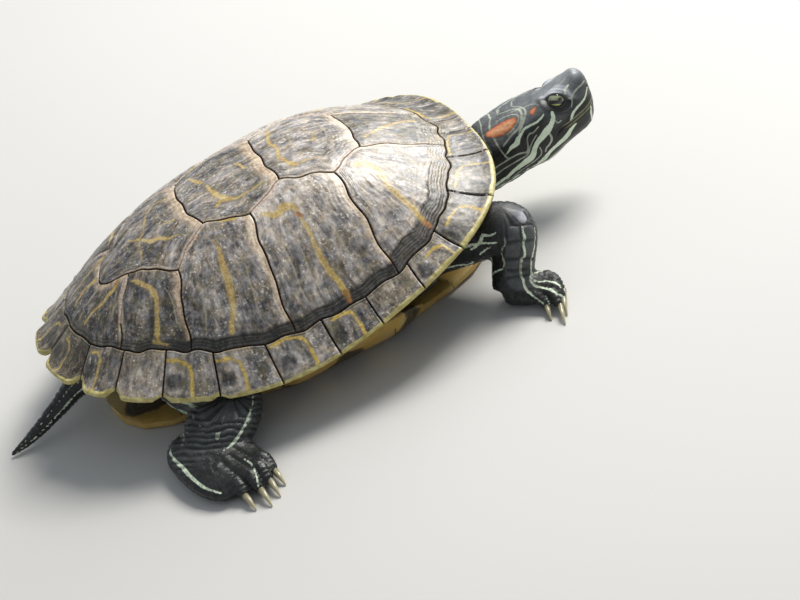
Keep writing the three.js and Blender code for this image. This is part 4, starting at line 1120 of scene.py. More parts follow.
def tube_rings(stations, wide, rings, sides):
    """Rings of points along a path. A station is x, y, z, half width, half height."""
    rows = along(stations, np.linspace(0, len(stations) - 1, rings + 1))
    middle, wide = rows[:, :3], np.asarray(wide, float)
    ahead = unit(np.gradient(middle, axis=0))
    across = unit(wide - ahead * (ahead @ wide)[:, None])
    up = np.cross(across, ahead)
    angle = np.linspace(0, 2 * np.pi, sides, endpoint=False)
    c, s = np.cos(angle), np.sin(angle)
    pull = rounded(c, s, TUBE_SQUARENESS)
    return (middle[:, None] + across[:, None] * (rows[:, 3, None] * c * pull)[..., None]
            + up[:, None] * (rows[:, 4, None] * s * pull)[..., None])


def tube_line(stations, wide, degrees, start, end, count=9):
    """A line along a tube's surface at one angle, between two shares of its length."""
    steps, sides = 24, 72
    rings = tube_rings(stations, wide, steps, sides)
    rows = np.linspace(start * steps, end * steps, count)
    return along(rings[:, int(degrees * sides / 360) % sides], rows)


SHOULDER = (66, -36, 24)
HIP = (-56, -28, 22)
# The left limbs stand turned by these degrees from the right ones' mirror image.
FORE_SWING, HIND_SWING = 6, -8
UPPER_ARM = [
    (*SHOULDER, 13, 15), (78, -47, 27, 12.6, 14), (89, -58, 30, 12, 12.8), (97, -66.5, 30.6, 11.4, 12.2),
    (102.4, -72, 30, 7.5, 8.5),
]
FOREARM = [
    (98.5, -64.5, 38, 6, 6), (97, -66.5, 31, 11, 11.6), (93.6, -69, 20, 9.6, 10.4), (89.2, -71.5, 12.5, 9, 9),
    (85.4, -74, 6, 9, 8),
]
PALM = [
    (84.5, -71, 7, 7, 7), (87.5, -73.5, 6.6, 9, 6.8), (91, -77, 6.3, 9.2, 6.2), (95, -80.6, 6.2, 9.4, 5.6),
    (98.2, -84, 6, 10, 4.8), (100, -86.4, 5.6, 9, 3.8),
]
THIGH = [
    (*HIP, 19, 12.5), (-54, -43, 21, 20, 12.5), (-49, -57, 19.5, 18.5, 12), (-46, -67, 17.5, 14.5, 11),
    (-45, -73, 15.5, 8, 7),
]
SHANK = [
    (-40, -58, 20, 9, 8), (-47, -64.5, 18, 15, 11.5), (-55.5, -72, 14, 17, 10.4),
    (-65.5, -77.5, 10, 14.5, 8.4), (-73, -80, 7.6, 10, 6.8),
]
SOLE = [
    (-76.5, -66, 7, 7, 6.4), (-75, -73, 7.4, 11.5, 7), (-70.5, -83, 7, 15.5, 6.4), (-65.5, -94, 6, 17.6, 5.6),
    (-61.6, -104, 5, 16, 4.6), (-59.5, -109, 4.2, 12, 3.6),
]
SMALL_TOE = [(-70, -96, 5, 4.5, 4), (-71.5, -103, 4.2, 4, 3.4), (-71.5, -108, 3.2, 2.6, 2.2)]
UPPER_ARM_WIDE, FOREARM_WIDE, PALM_WIDE = (0.72, 0.4, -0.4), (0.72, 0.2, -0.5), (0.62, 0.78, 0.08)
THIGH_WIDE, SHANK_WIDE, SOLE_WIDE = (1, 0.1, 0), (1, -0.5, 0), (0.9, 0.42, 0.06)
# A toe's base, knuckle, claw root and claw tip.
HAND_TOES = [
    ((95, -77, 7), (102.2, -79, 8), (105, -83.2, 4), (103.4, -89, 0.5)),
    ((96, -80, 7), (102.8, -84, 8), (104.4, -89.6, 4), (102, -96, 0.5)),
    ((96, -83, 6.6), (101.4, -88.8, 7.4), (101.8, -95.2, 3.8), (99, -102.8, 0.5)),
    ((95, -85, 6), (98.6, -91.6, 6.6), (98.4, -98.8, 3.6), (95.4, -108.4, 0.5)),
    ((92.8, -83.6, 5.4), (94.2, -89, 5.4), (93.8, -94, 3.2), (92, -100.6, 0.5)),
]
FOOT_TOES = [
    ((-54, -95, 6), (-49.5, -103, 7), (-47.6, -110.5, 3.6), (-46.6, -119, 0.5)),
    ((-57, -98, 6), (-53, -108, 7.4), (-51.6, -116, 3.8), (-51.2, -125, 0.5)),
    ((-61.5, -101, 6), (-58.2, -111, 7), (-57, -118.6, 3.8), (-56.4, -128.4, 0.5)),
    ((-66, -101, 5.4), (-64.5, -110, 6), (-64, -116.5, 3.4), (-63, -125.5, 0.5)),
]
HAND_TOE_WIDTH, HAND_CLAW_WIDTH = 3.1, 1.35
FOOT_TOE_WIDTH, FOOT_CLAW_WIDTH = 3.8, 1.6
CLAW_CLEARANCE = 0.02  # over the floor
TAIL_PATH = [
    (-80, 0, 22, 11, 11), (-93, 1, 21.5, 9, 9), (-103.5, 1, 19, 6, 6), (-114.5, 0.4, 13.6, 4.4, 4.6),
    (-126.5, 0, 8, 3.4, 3.5), (-137, 0, 3.8, 2.2, 2.3), (-144.6, 0.6, 1.5, 0.9, 1.1),
]
NECK_PATH = [
    (82, 1, 26.4, 16, 16), (94, 0.4, 27.6, 15.5, 15.8), (104, -1.3, 29.6, 15.2, 15.7),
]


def toe_rings(toe, width):
    base, knuckle, root, tip = (np.array(p, float) for p in toe)
    stations = [
        (*base, width * 1.1, width * 0.9), (*knuckle, width, width * 0.95),
        (*mix(knuckle, root, 0.6), width * 0.86, width * 0.8), (*root, width * 0.62, width * 0.58),
    ]
    return tube_rings(stations, (knuckle[1] - tip[1], tip[0] - knuckle[0], 0), 16, 20)


def claw_rings(toe, width):
    knuckle, root, tip = (np.array(p, float) for p in toe[1:])
    bend = mix(root, tip, 0.5) + (0, 0, 0.9)
    stations = [
        (*mix(knuckle, root, 0.8), width * 0.8, width * 0.85), (*root, width, width),
        (*bend, width * 0.72, width * 0.78), (*tip, 0.3, 0.3),
    ]
    return tube_rings(stations, (knuckle[1] - tip[1], tip[0] - knuckle[0], 0), 22, 16)


def turned(points, root, degrees):
    """Points swung about the upright line through root."""
    c, s = np.cos(np.radians(degrees)), np.sin(np.radians(degrees))
    x, y = points[..., 0] - root[0], points[..., 1] - root[1]
    return np.stack([root[0] + c * x - s * y, root[1] + s * x + c * y, points[..., 2]], -1)


def placed(points, side, root, swing):
    """A right limb's points, or on the left side their mirror image swung about the limb's root."""
    return points if side == RIGHT else turned(points, root, swing) * (1, -1, 1)


def to_right(points, root, swing):
    """Where points of the left side lie on the right limb."""
    back = turned(points * (1, -1, 1), root, -swing)
    return np.where(points[:, 1:2] > 0, back, points)


def trunk_rings():
    """Rings of the trunk from the plastron up to the carapace, and those of its roof under the plates."""
    count = 72
    a = np.linspace(0, 2 * np.pi, count, endpoint=False)
    side = np.where(a < np.pi, 1, -1)
    theta = np.where(a < np.pi, a, 2 * np.pi - a)
    bridge = smooth((38 - np.abs(np.degrees(theta) - 87)) / 12)
    top = dome_height(plan_point(np.full(count, 0.8), theta, side)) - RIM_THICKNESS - 1.9
    rings = []
    for level in (0, 0.16, 0.45, 0.8, 1):
        share = [np.interp(level, (0, 0.16, 0.45, 1), (mix(0.6, 0.47, b), mix(0.7, 0.56, b), 0.765, 0.8))
                 for b in bridge]
        plan = plan_point(np.array(share), theta, side)
        rings.append(np.column_stack([plan, mix(PLASTRON_THICKNESS + 0.35, top, level)]))
    roof = [rings[3] * (0.9, 0.9, 1), rings[4] * (0.985, 0.985, 1)]
    for share in (0.74, 0.6, 0.42, 0.2):
        plan = plan_point(np.full(count, share), theta, side)
        roof.append(dome_point(plan, np.full(count, -PLATE_THICKNESS - 0.9)))
    return np.array(rings), np.array(roof)


# ---------------------------------------------------------------- head and neck
HEAD_ORIGIN = (124.4, -6, 36.4)
HEAD_YAW, HEAD_PITCH = np.radians(-14), np.radians(18)
# The head's directions forward, to the left and up.
HEAD_AXES = np.array([
    (np.cos(HEAD_YAW) * np.cos(HEAD_PITCH), np.sin(HEAD_YAW) * np.cos(HEAD_PITCH), np.sin(HEAD_PITCH)),
    (-np.sin(HEAD_YAW), np.cos(HEAD_YAW), 0),
    (-np.cos(HEAD_YAW) * np.sin(HEAD_PITCH), -np.sin(HEAD_YAW) * np.sin(HEAD_PITCH), np.cos(HEAD_PITCH)),
])
# Forward, half width, top, bottom, height of the widest line, squareness above and below.
HEAD_SECTIONS = [
    (-12, 15.2, 14.9, -16.7, -0.4, 2.2, 2.1), (-8, 15.3, 15, -16.8, -0.4, 2.3, 2.1),
    (2, 15.6, 14.6, -17.4, -0.4, 2.5, 2.2), (10, 15.2, 13.8, -19, -1, 2.8, 2.3),
    (17, 14.2, 12.1, -18.4, -1.6, 3, 2.5), (24, 13, 10.8, -16.9, -2, 2.95, 2.8),
    (30, 11.9, 10.9, -16.4, -1.5, 2.5, 3), (35, 10.4, 11.2, -16.8, -2, 2.1, 2.8),
    (39, 8.7, 11.2, -17, -2.5, 2.25, 2.7), (42.2, 6.8, 9.2, -15.9, -2.5, 2.4, 2.5),
    (44.3, 4.5, 6.2, -13.2, -2.5, 2.3, 2.2), (45.3, 2.4, 2.2, -8.6, -3, 2.2, 2.1),
    (45.5, 0.9, -1.2, -5.2, -3.2, 2, 2),
]
SNOUT_LEAN = 0.34  # how far the snout's sections lean forward per mm of height
HEAD_COLUMNS = 200
NECK_STEP, HEAD_STEP = 0.8, 0.46  # about how far the rings lie apart
EYE_CENTRE = (29.9, 5.6, 5.5)
EYE_RADIUS = 4.6
# The eye looks outward and up. Its own directions in the head's frame, on the left side:
EYE_AXIS = np.array((0.132, 0.869, 0.478))
EYE_SLIT = np.array((0.808, 0.185, -0.559))  # along the opening of the lids
EYE_RISE = np.array((0.574, -0.46, 0.678))
LID_REACH = 5.0  # from the eye's middle to a corner of the lids
LID_LIFT, LOWER_LID_LIFT = 0.65, 0.55  # how far the lids' rims stand out over the eyeball
MOUTH = [
    (45.6, 0, -7), (43.6, 3.6, -6.4), (42, 5.6, -6.3), (38.2, 8.6, -6.4), (33.6, 10.8, -5.8),
    (28.7, 12.1, -5.2), (23.6, 12.9, -4.8), (20.4, 13.6, -6.2),
]
EAR = (12.5, 14.6, 3.0)
NOSTRIL = (44.3, 4.0, 1.9)


def in_head(points):
    return (points - np.array(HEAD_ORIGIN)) @ HEAD_AXES.T


def out_of_head(points):
    return points @ HEAD_AXES + np.array(HEAD_ORIGIN)


def head_keys():
    """Sections of the neck and the head in the part's frame, from inside the shell to the snout's tip."""
    angle = np.linspace(0, 2 * np.pi, HEAD_COLUMNS, endpoint=False)
    c, s = np.cos(angle), np.sin(angle)
    across = unit(np.array((0.12, 1, 0)))
    up = unit(np.cross((1, -0.12, 0.16), (0.12, 1, 0)))
    keys = []
    for x, y, z, w, h in NECK_PATH:
        pull = rounded(c, s, TUBE_SQUARENESS)
        keys.append(np.array((x, y, z)) + across * (w * c * pull)[:, None] + up * (h * s * pull)[:, None])
    for f, w, top, bottom, middle, above, below in HEAD_SECTIONS:
        pull = rounded(c, s, np.where(s > 0, above, below))
        z = middle + np.where(s > 0, top - middle, middle - bottom) * s * pull
        lean = SNOUT_LEAN * smooth((f - 8) / 30) * z
        keys.append(out_of_head(np.column_stack([f + lean, w * c * pull, z])))
    return np.array(keys)


def head_rings():
    """Rings through the sections of the neck and the head, closer together on the head."""
    keys = head_keys()
    gaps = np.linalg.norm(np.diff(keys.mean(1), axis=0), axis=1)
    gaps = np.maximum(gaps, np.abs(np.diff(keys, axis=0)).mean((1, 2)) * 2)
    places = [0.0]
    for k, gap in enumerate(gaps):
        count = max(2, int(round(gap / mix(NECK_STEP, HEAD_STEP, smooth((k - 2) / 4)))))
        places += list(k + np.arange(1, count + 1) / count)
    return along(keys.reshape(len(keys), -1), places).reshape(len(places), HEAD_COLUMNS, 3)


def vertex_normals(points, faces):
    normals = np.zeros_like(points)
    for f in faces:
        a, b, c = points[f[:, 0]], points[f[:, 1]], points[f[:, 2]]
        cross = np.cross(b - a, c - a)
        if f.shape[1] == 4:
            cross = cross + np.cross(c - a, points[f[:, 3]] - a)
        for k, axis in itertools.product(range(f.shape[1]), range(3)):
            normals[:, axis] += np.bincount(f[:, k], cross[:, axis], len(points))
    return unit(normals)


def lid_outline(q):
    """Distance in mm outside the opening of the lids, below 0 in it, for places q from the eye's centre."""
    x, y = q @ EYE_SLIT, q @ EYE_RISE
    half = np.where(y > 0, 2.8, 3.2)
    over = np.abs(x / LID_REACH) ** 2.4 + np.abs(y) / half - 1
    slope = np.hypot(2.4 * np.abs(x / LID_REACH) ** 1.4 / LID_REACH, 1 / half)
    return over / slope


def neck_relief(points, f, y, z):
    """How far the folds and scales of the neck, the crown and the throat stand out, in mm."""
    slack = 0.5 + 0.5 * np.sin(f * 0.95 + 1.6 * noise(points, 9, 3))
    lift = -0.55 * smooth((-6 - f) / 16) * slack
    long_fold = noise(points * (0.35, 1, 1), 4.2, 5)
    lift += 0.35 * smooth((12 - f) / 20) * smooth(np.abs(long_fold) / 0.25 - 1) - 0.1
    first, second, _ = scales(points * (0.8, 1, 1), 1.7, 7)
    lift -= 0.16 * smooth((20 - f) / 14) * fade(second - first, 0.28)
    crown = smooth((z - 6) / 4) * smooth((f + 4) / 8) * smooth((30 - f) / 8)
    first, second, _ = scales(points, 4.2, 9)
    lift -= 0.16 * crown * fade(second - first, 0.12)
    throat = smooth((-z - 9) / 5) * smooth((30 - f) / 14)
    return lift - 0.4 * throat * (0.5 + 0.5 * np.sin(y * 1.5 + 1.5 * noise(points, 6, 11)))


def face_relief(points, own):
    """How far the cheek, ear, brow, jaw, mouth and nostril stand out, in mm."""
    f, y, z = own.T
    # a hollow before and under the eye, and the ear's disc
    lift = -0.5 * hump(f, 37, 4) * hump(z, 3, 3.5) * smooth(y / 4)
    ear = np.linalg.norm((own - EAR) * (1, 0.6, 1), axis=1)
    lift -= 0.22 * hump(ear, 3.6, 0.6) + 0.12 * fade(ear, 3.4)
    # the brow, and the bump of the jaw muscle
    lift += 0.55 * hump(f, 31.5, 5.5) * hump(z, 11, 1.8) * hump(y, 7.5, 3)
    lift += 0.5 * hump(f, 11, 6) * hump(z, -5, 4.5) * smooth(y / 6)
    # the mouth's line with the beak's edges
    gape, place = line_distance(own, curve(MOUTH, 5))
    lift -= 0.85 * fade(gape, 0.62) * (1 - 0.6 * smooth((place - 0.85) / 0.15))
    lift += 0.16 * smooth((f - 24) / 6) * fade(np.abs(gape - 0.2) - 2.6, 0.5)
    pit = np.linalg.norm(own - NOSTRIL, axis=1)
    lift -= 1.5 * fade(pit, 0.95) - 0.16 * hump(pit, 1.3, 0.4)
    return lift + 0.035 * noise(points, 1.1, 13) + 0.06 * noise(points, 3.4, 14)


def lids_on_eyes(points):
    """The points, with the skin on the eyeballs as lids, and sunk under them inside the opening."""
    own = in_head(points)
    side = np.where(own[:, 1] < 0, -1, 1)
    own[:, 1] *= side
    from_eye = own - EYE_CENTRE
    reach = np.linalg.norm(from_eye, axis=1)
    outside = lid_outline(from_eye)
    near = (from_eye @ EYE_AXIS > 0.3) & (outside < 6.5)
    over = from_eye @ EYE_RISE > 0
    lid = np.where(over, LID_LIFT, LOWER_LID_LIFT) * mix(1, 0.25, smooth((own[:, 2] - 8.4) / 1.4))
    rim = EYE_RADIUS + lid - 0.2 * hump(outside, 1.7, 0.35) * ~over
    opened = mix(EYE_RADIUS - 1.3, rim, smooth((outside + 0.25) / 0.5))
    hold = fade(outside - np.where(reach > rim, 0.9, 1.8), np.where(reach > rim, 1.6, 2.4))
    crease = 0.4 * hump(outside, 2.9, 0.45) * (1 - hold) * smooth((6 - outside) / 3)
    wanted = mix(reach, opened, hold) - crease
    share = np.where(near, wanted / np.maximum(reach, 0.1), 1.0)
    own = EYE_CENTRE + from_eye * share[:, None]
    own[:, 1] *= side
    return out_of_head(own)


def head_relief(points, normals):
    """The head's and neck's points with their folds, scales, face and lids."""
    own = in_head(points)
    own[:, 1] = np.abs(own[:, 1])
    lift = neck_relief(points, *own.T) + face_relief(points, own)
    return lids_on_eyes(points + normals * lift[:, None])


# Markings of the head and neck in the head's frame: forward, to the side, up; then widths along the line.
HEAD_STRIPES = [
    ([(25.8, 12.0, 4.9), (24.8, 12.8, 2.7), (22.2, 13.3, 0.7), (19.3, 13.8, -0.3), (16, 14.3, -1.1),
      (12.6, 14.8, -1.8), (9.8, 15, -3.2), (7.8, 15, -5), (5.4, 14.8, -6.5), (2.6, 14.6, -6.8),
      (-1.1, 14.4, -6.9), (-5.1, 14.1, -7.2), (-9, 13.4, -8.3), (-13.5, 13.1, -8.7), (-26, 13.2, -8.2),
      (-40, 13, -8)],
     1.3, 1.9, 2.4, 3.5, 2.9, 2.4, 2.3, 2.6, 3.6, 3.8, 2.8, 2.2, 2.0, 2.2, 2.4, 2.0),
    ([(22.3, 12, 6.8), (20.5, 12.5, 6.2), (17.5, 13.1, 6.1), (13.8, 13.4, 6.9), (11.1, 13.8, 7.2),
      (8.7, 14.2, 6.2), (6.5, 14.6, 5.5), (4.5, 15.2, 4.2), (1.5, 15.2, 4), (-0.3, 15.2, 3.3),
      (-3.5, 15.2, 2.4)],
     0.5, 0.9, 0.8, 0.9, 1.0, 1.2, 2.0, 2.7, 1.7, 1.0, 0.5),
    ([(30.8, 10.5, -7.8), (27.7, 11.4, -8.3), (25, 11.6, -9.5), (21.8, 12, -10.1), (18.3, 12.6, -10.2),
      (14.1, 13, -10.8), (9.7, 12.5, -12.3), (4, 11, -13.8), (-4, 10.5, -13.6), (-20, 10, -13),
      (-40, 10, -12)],
     0.8, 2.2, 2.5, 2.6, 2.4, 2.4, 2.8, 2.2, 2.0, 1.8, 1.6),
    ([(44.6, 4.3, 1), (42.9, 5.9, -0.4), (40.7, 7.4, -1.5), (37.9, 8.9, -1.8), (35.8, 9.8, -1.8),
      (32.7, 10.9, -2.5), (29.9, 11.5, -4.7)], 0.7, 0.9, 1.0, 1.1, 1.4, 1.4, 1.0),
    ([(40.8, 5.9, -7.9), (39.4, 6, -10.3), (37.6, 4.8, -14)], 1.0, 1.6, 1.6),
    ([(36, 0, -17.5), (26, 0, -17.4), (12, 0, -19), (0, 0, -17.8), (-20, 0, -16.5), (-40, 0, -15)],
     1.6, 2.2, 2.6, 2.4, 2.0, 1.6),
    ([(35, 4.5, -16), (25, 6.6, -15.8), (13, 7.6, -17), (0, 6.8, -16.2), (-20, 6.4, -15.2), (-40, 6, -14)],
     1.4, 1.7, 2.0, 1.8, 1.5, 1.2),
    ([(35.5, 8.2, 7.2), (36.6, 7, 8.4), (38.8, 6.2, 8.8)], 0.8, 1.0, 0.6),
]
HEAD_LINES = [
    ([(35.3, 9.4, 4.9), (36.7, 9.1, 3.9), (38.2, 8.5, 4.7), (40.9, 7.4, 5), (43.7, 5.9, 4.7), (45, 3.6, 4)],
     0.8, 0.9, 0.8, 0.7, 0.6, 0.5),
    ([(36.5, 9.2, 3.9), (35.7, 9.9, 2.2), (34.2, 10.5, 0.6)], 0.7, 0.6),
    ([(18.9, 13.8, -0.6), (18.9, 13.7, -3.3), (18.1, 13.7, -5.5), (15.8, 14, -6.8), (13.8, 14.2, -7.2),
      (12.4, 14, -8.4)], 0.7, 0.9, 0.9, 0.6),
    ([(0.1, 0, 15), (-1.6, 4.5, 14.6), (-2.4, 8.6, 13.2), (-2.8, 12.4, 9.8), (-3.2, 15, 4),
      (-3, 15.3, 1)], 0.8),
    ([(3.9, 0.7, 14.4), (8, 1.9, 14), (11.6, 3, 13.4), (13.9, 5.5, 12.6), (14, 8.5, 11.7),
      (12.7, 10.8, 10.5), (10.7, 12.4, 9.4), (8.2, 13.3, 8.8), (4.7, 13.8, 8.4), (1.8, 14.2, 7.6),
      (-1, 14.6, 6.8)], 0.5, 0.8, 0.9, 0.7),
    ([(2, 5, 14.3), (7, 5.4, 13.8), (11, 6.8, 12.8), (12.2, 8.6, 12), (11.2, 10.4, 11), (8, 12, 10),
      (3.6, 12.9, 9.6)], 0.4, 0.5, 0.6, 0.5),
    ([(11.3, 0.4, 13.6), (14.7, 3.8, 12.7), (16.2, 7, 11.7), (15.3, 9.7, 10.9), (13.4, 11.4, 9.8),
      (11.1, 12.9, 8.6), (8, 14.2, 7)], 0.4, 0.7, 0.7, 0.5),
    ([(17, 13.7, 3.9), (13.5, 14.5, 3.4), (12.1, 14.6, 4.1), (9.8, 15, 3), (7.9, 15.3, -0.3),
      (5.9, 15.3, -2.4), (2.8, 15.5, -0.9), (-1.4, 15.5, -0.2), (-20, 15.2, 0.6), (-40, 15, 1)],
     0.4, 0.6, 0.8, 0.6),
    ([(14, 14.4, 1.4), (10.6, 15.2, 0), (8, 15.4, -1.8), (5, 15.3, -3.8), (0, 15.3, -3.4), (-7.3, 15.2, -3),
      (-20, 15, -3.4), (-40, 14.8, -3)], 0.4, 0.6, 0.6, 0.5),
    ([(11.7, 14.7, -4.5), (10.5, 14.3, -7.8), (6, 13.8, -9.6), (-2, 13.6, -10), (-10, 12.3, -11),
      (-22, 12, -10.8), (-40, 12, -10)], 0.5, 0.6, 0.6),
    ([(24.8, 12.8, 1.4), (25, 12.8, -0.8), (26.6, 12.5, -1)], 0.4, 0.5),
    ([(-5.1, -1, 15), (-5.6, 2.5, 14.9), (-6.4, 7, 13.6), (-7, 11, 10.6), (-7.4, 13.6, 7)], 0.5, 0.7),
    ([(-8, 4, 14.7), (-16, 5.4, 14.2), (-28, 6, 13.9), (-40, 6, 13.6)], 0.5, 0.7),
    ([(-8, 10.6, 11.4), (-18, 11.2, 10.8), (-40, 11.4, 10.4)], 0.5, 0.7),
    ([(-8, 14.4, 6.2), (-18, 14.6, 6), (-40, 14.6, 6)], 0.6, 0.8),
    ([(25, 3.4, 11.2), (31, 4.4, 11.2), (36, 4.2, 11.4), (40, 2.6, 11.2)], 0.3, 0.4, 0.3),
    ([(23, 8.8, 10.2), (20, 6, 11.6), (10, 4.6, 13.7)], 0.3, 0.4, 0.3),
]
RED_PATCH = (
    [(-3.4, 8.7, 13), (-0.5, 9.5, 12.6), (3.2, 10, 12.2), (6.6, 10.1, 12), (9, 9.8, 12)], 3.8, 6, 6.6, 6, 4,
)
RED_SPOT = (np.array([(20.4, 8.9, 10.3), (18.6, 9.8, 10)]), 1.8, 3.0)
MARKS_TURN = np.radians(13)  # the left side's marks lie this much lower round the neck
FAR_FROM_MOUTH = 9.0


def as_right(q):
    """Places in the head's frame, with the left side's moved to where its marks lie on the right one."""
    turn = MARKS_TURN * smooth((22 - q[:, 0]) / 8) * smooth(q[:, 1] / 5) * smooth((q[:, 2] + 12) / 8)
    side, up = np.abs(q[:, 1]), q[:, 2] + 1
    c, s = np.cos(turn), np.sin(turn)
    return np.column_stack([q[:, 0], np.abs(c * side - s * up), s * side + c * up - 1])


def head_tone_and_shading(bare, f, z):
    """How light the head's skin is: the crown and the face are lighter, partly their own grey and partly
    painted sheen from above; painted shade darkens the lids' rims, sockets are dark, and a painted
    highlight lies on the brows.
    """
    at_eye = bare - EYE_CENTRE
    from_eye, above, ahead = lid_outline(at_eye), at_eye @ EYE_RISE, at_eye @ EYE_AXIS
    # painted shade along the lids' rims
    lid_shade = fade(from_eye - 0.1, 0.8) * (ahead > 0)
    socket = hump(from_eye, 1.4, 1.6) * fade(above + 0.4, 1.6)
    # painted highlight on the brows
    brow_highlight = hump(from_eye, 2.2, 1.3) * smooth(above / 2) * smooth(ahead)
    # lighter crown and face: partly their own grey, partly painted sheen from above
    light = 0.75 * smooth((z - 4.5) / 6) * smooth((f + 12) / 10)
    light = light + 0.35 * smooth((f - 18) / 8) * smooth((z + 4) / 5)
    return np.clip(light * (1 - 0.9 * lid_shade) * (1 - 0.85 * socket) + brow_highlight, 0, 1.6)


def head_fields(points):
    """The fields that the skin's material reads, for the head and the neck."""
    bare = in_head(points)
    q = as_right(bare)
    bare[:, 1] = np.abs(bare[:, 1])
    f, _, z = q.T
    wave = 0.3 * noise(points, 3.5, 21)
    out = unit(q - np.column_stack([np.minimum(f, 36), 0 * f, 0 * f - 2.5]))
    thin, across, half = fine_lines(q, curved(HEAD_LINES), out)
    gape, place = line_distance(bare, curve(MOUTH, 5), out)
    return {
        "stripe": np.minimum(painted(q, curved(HEAD_STRIPES), out) + 0.5 * wave, gape - 0.5),
        "thin": thin + 0.3 * wave, "across": across, "half": half + 0.3 * wave,
        "red": painted(q, curved([RED_PATCH]) + [RED_SPOT], out),
        # painted sheen, shade and highlight round the eyes and on the crown
        "tone": head_tone_and_shading(bare, f, z),
        "gape": np.minimum(gape + 0.4 * smooth((place - 0.85) / 0.15), FAR_FROM_MOUTH),
        "beak": smooth((f - 24) / 5),
        "wet": np.full(len(points), 0.3),
        # painted shade in the nostril's pit
        "crease": fade(np.linalg.norm(bare - NOSTRIL, axis=1) - 0.6, 0.6),
        "grain": mix(0.7, 0.1, smooth((f + 8) / 14)),
    }


# ---------------------------------------------------------------- limbs, tail and trunk as one surface
VOXEL = 0.95  # grid step in which the tubes are fused
HIDDEN_KEPT = 0.39  # share of the faces left after those that the shell hides are thinned out
# Where limbs and toes join: the place on the right side, and how far from it the skin is smoothed.
JOINTS = [
    ((97, -66.5, 31), 15), ((86.5, -73, 9), 12), ((-47, -62, 19), 18), ((-70, -76, 10.5), 16),
    ((78, -47, 27), 15), ((-54, -43, 21), 20), ((96, -82, 7), 12), ((-60, -98, 6), 14),
    ((82, -70, 7), 12),
]


def limb_bodies(side):
    """Rings of the overlapping tubes that make up a fore and a hind limb."""
    fore = [tube_rings(UPPER_ARM, UPPER_ARM_WIDE, 24, 40), tube_rings(FOREARM, FOREARM_WIDE, 24, 40),
            tube_rings(PALM, PALM_WIDE, 16, 36)]
    fore += [toe_rings(toe, HAND_TOE_WIDTH) for toe in HAND_TOES]
    hind = [tube_rings(THIGH, THIGH_WIDE, 24, 48), tube_rings(SHANK, SHANK_WIDE, 24, 44),
            tube_rings(SOLE, SOLE_WIDE, 20, 44), tube_rings(SMALL_TOE, (1, 0, 0), 8, 18)]
    hind += [toe_rings(toe, FOOT_TOE_WIDTH) for toe in FOOT_TOES]
    out = [placed(r, side, SHOULDER, FORE_SWING) for r in fore]
    return out + [placed(r, side, HIP, HIND_SWING) for r in hind]


def scratch_object(points, faces):
    mesh = bpy.data.meshes.new("scratch")
    rows = [tuple(int(k) for k in f) for group in faces for f in group]
    mesh.from_pydata((points * MM).tolist(), [], rows)
    thing = bpy.data.objects.new("scratch", mesh)
    bpy.context.scene.collection.objects.link(thing)
    return thing


def values_of(items, key, kind, width=1):
    """One number, or width of them, of each item of a mesh."""
    values = np.empty(len(items) * width, kind)
    items.foreach_get(key, values)
    return values


def evaluated(thing):
    """Points in mm and faces of an object with its modifiers, which is then removed."""
    graph = bpy.context.evaluated_depsgraph_get()
    mesh = thing.evaluated_get(graph).to_mesh()
    points = values_of(mesh.vertices, "co", float, 3).reshape(-1, 3)
    sizes = values_of(mesh.polygons, "loop_total", int)
    starts = values_of(mesh.polygons, "loop_start", int)
    corners = values_of(mesh.loops, "vertex_index", int)
    faces = [corners[starts[sizes == n][:, None] + np.arange(n)] for n in np.unique(sizes)]
    thing.evaluated_get(graph).to_mesh_clear()
    bpy.data.objects.remove(thing)
    return points / MM, faces


def relaxed(points, faces, weight, passes):
    """Each point moves towards the middle of its neighbours by weight, that many times."""
    ends = np.concatenate([np.stack([f, np.roll(f, -1, 1)], -1).reshape(-1, 2) for f in faces])
    ends = np.concatenate([ends, ends[:, ::-1]])
    count = np.bincount(ends[:, 0], minlength=len(points))
    for _ in range(passes):
        middle = np.stack([np.bincount(ends[:, 0], points[ends[:, 1], k], len(points)) for k in range(3)], -1)
        points = mix(points, middle / np.maximum(count, 1)[:, None], weight[:, None])
    return points


def right_side(points):
    """Every point as it lies on the right fore or hind limb."""
    fore = to_right(points, SHOULDER, FORE_SWING)
    hind = to_right(points, HIP, HIND_SWING)
    return np.where(points[:, :1] > 20, fore, hind)


def thinned(points, faces):
    """Points and faces, with fewer of them where the shell hides the body."""
    hidden = smooth((0.72 - rim_share(points)[1]) / 0.08)
    hidden = np.clip(hidden + smooth((points[:, 2] - dome_height(points[:, :2]) + 9) / 2), 0, 1)
    thing = scratch_object(points, faces)
    group = thing.vertex_groups.new(name="hidden")
    for level in (0.25, 0.5, 0.75, 1.0):
        group.add(np.flatnonzero(np.round(hidden * 4) == level * 4).tolist(), level, "REPLACE")
    thin = thing.modifiers.new("thin", "DECIMATE")
    thin.ratio = HIDDEN_KEPT
    thin.vertex_group = "hidden"
    thin.vertex_group_factor = 1.0
    return evaluated(thing)


def fused_body():
    """Trunk, limbs and tail as one closed surface, coarse where the shell hides it."""
    bodies = [ring_mesh(r) for side in (RIGHT, LEFT) for r in limb_bodies(side)]
    bodies += [ring_mesh(trunk_rings()[0]), ring_mesh(tube_rings(TAIL_PATH, (0, 1, 0), 60, 28))]
    thing = scratch_object(*joined(bodies))
    remesh = thing.modifiers.new("fuse", "REMESH")
    remesh.mode = "VOXEL"
    remesh.voxel_size = VOXEL * MM
    points, faces = evaluated(thing)
    own = right_side(points)
    near = np.zeros(len(points))
    for place, reach in JOINTS:
        near = np.maximum(near, fade(np.linalg.norm(own - place, axis=1), reach))
    points = relaxed(points, faces, np.full(len(points), 0.5), 4)
    points = relaxed(points, faces, 0.6 * near, 26)
    return thinned(points, faces)


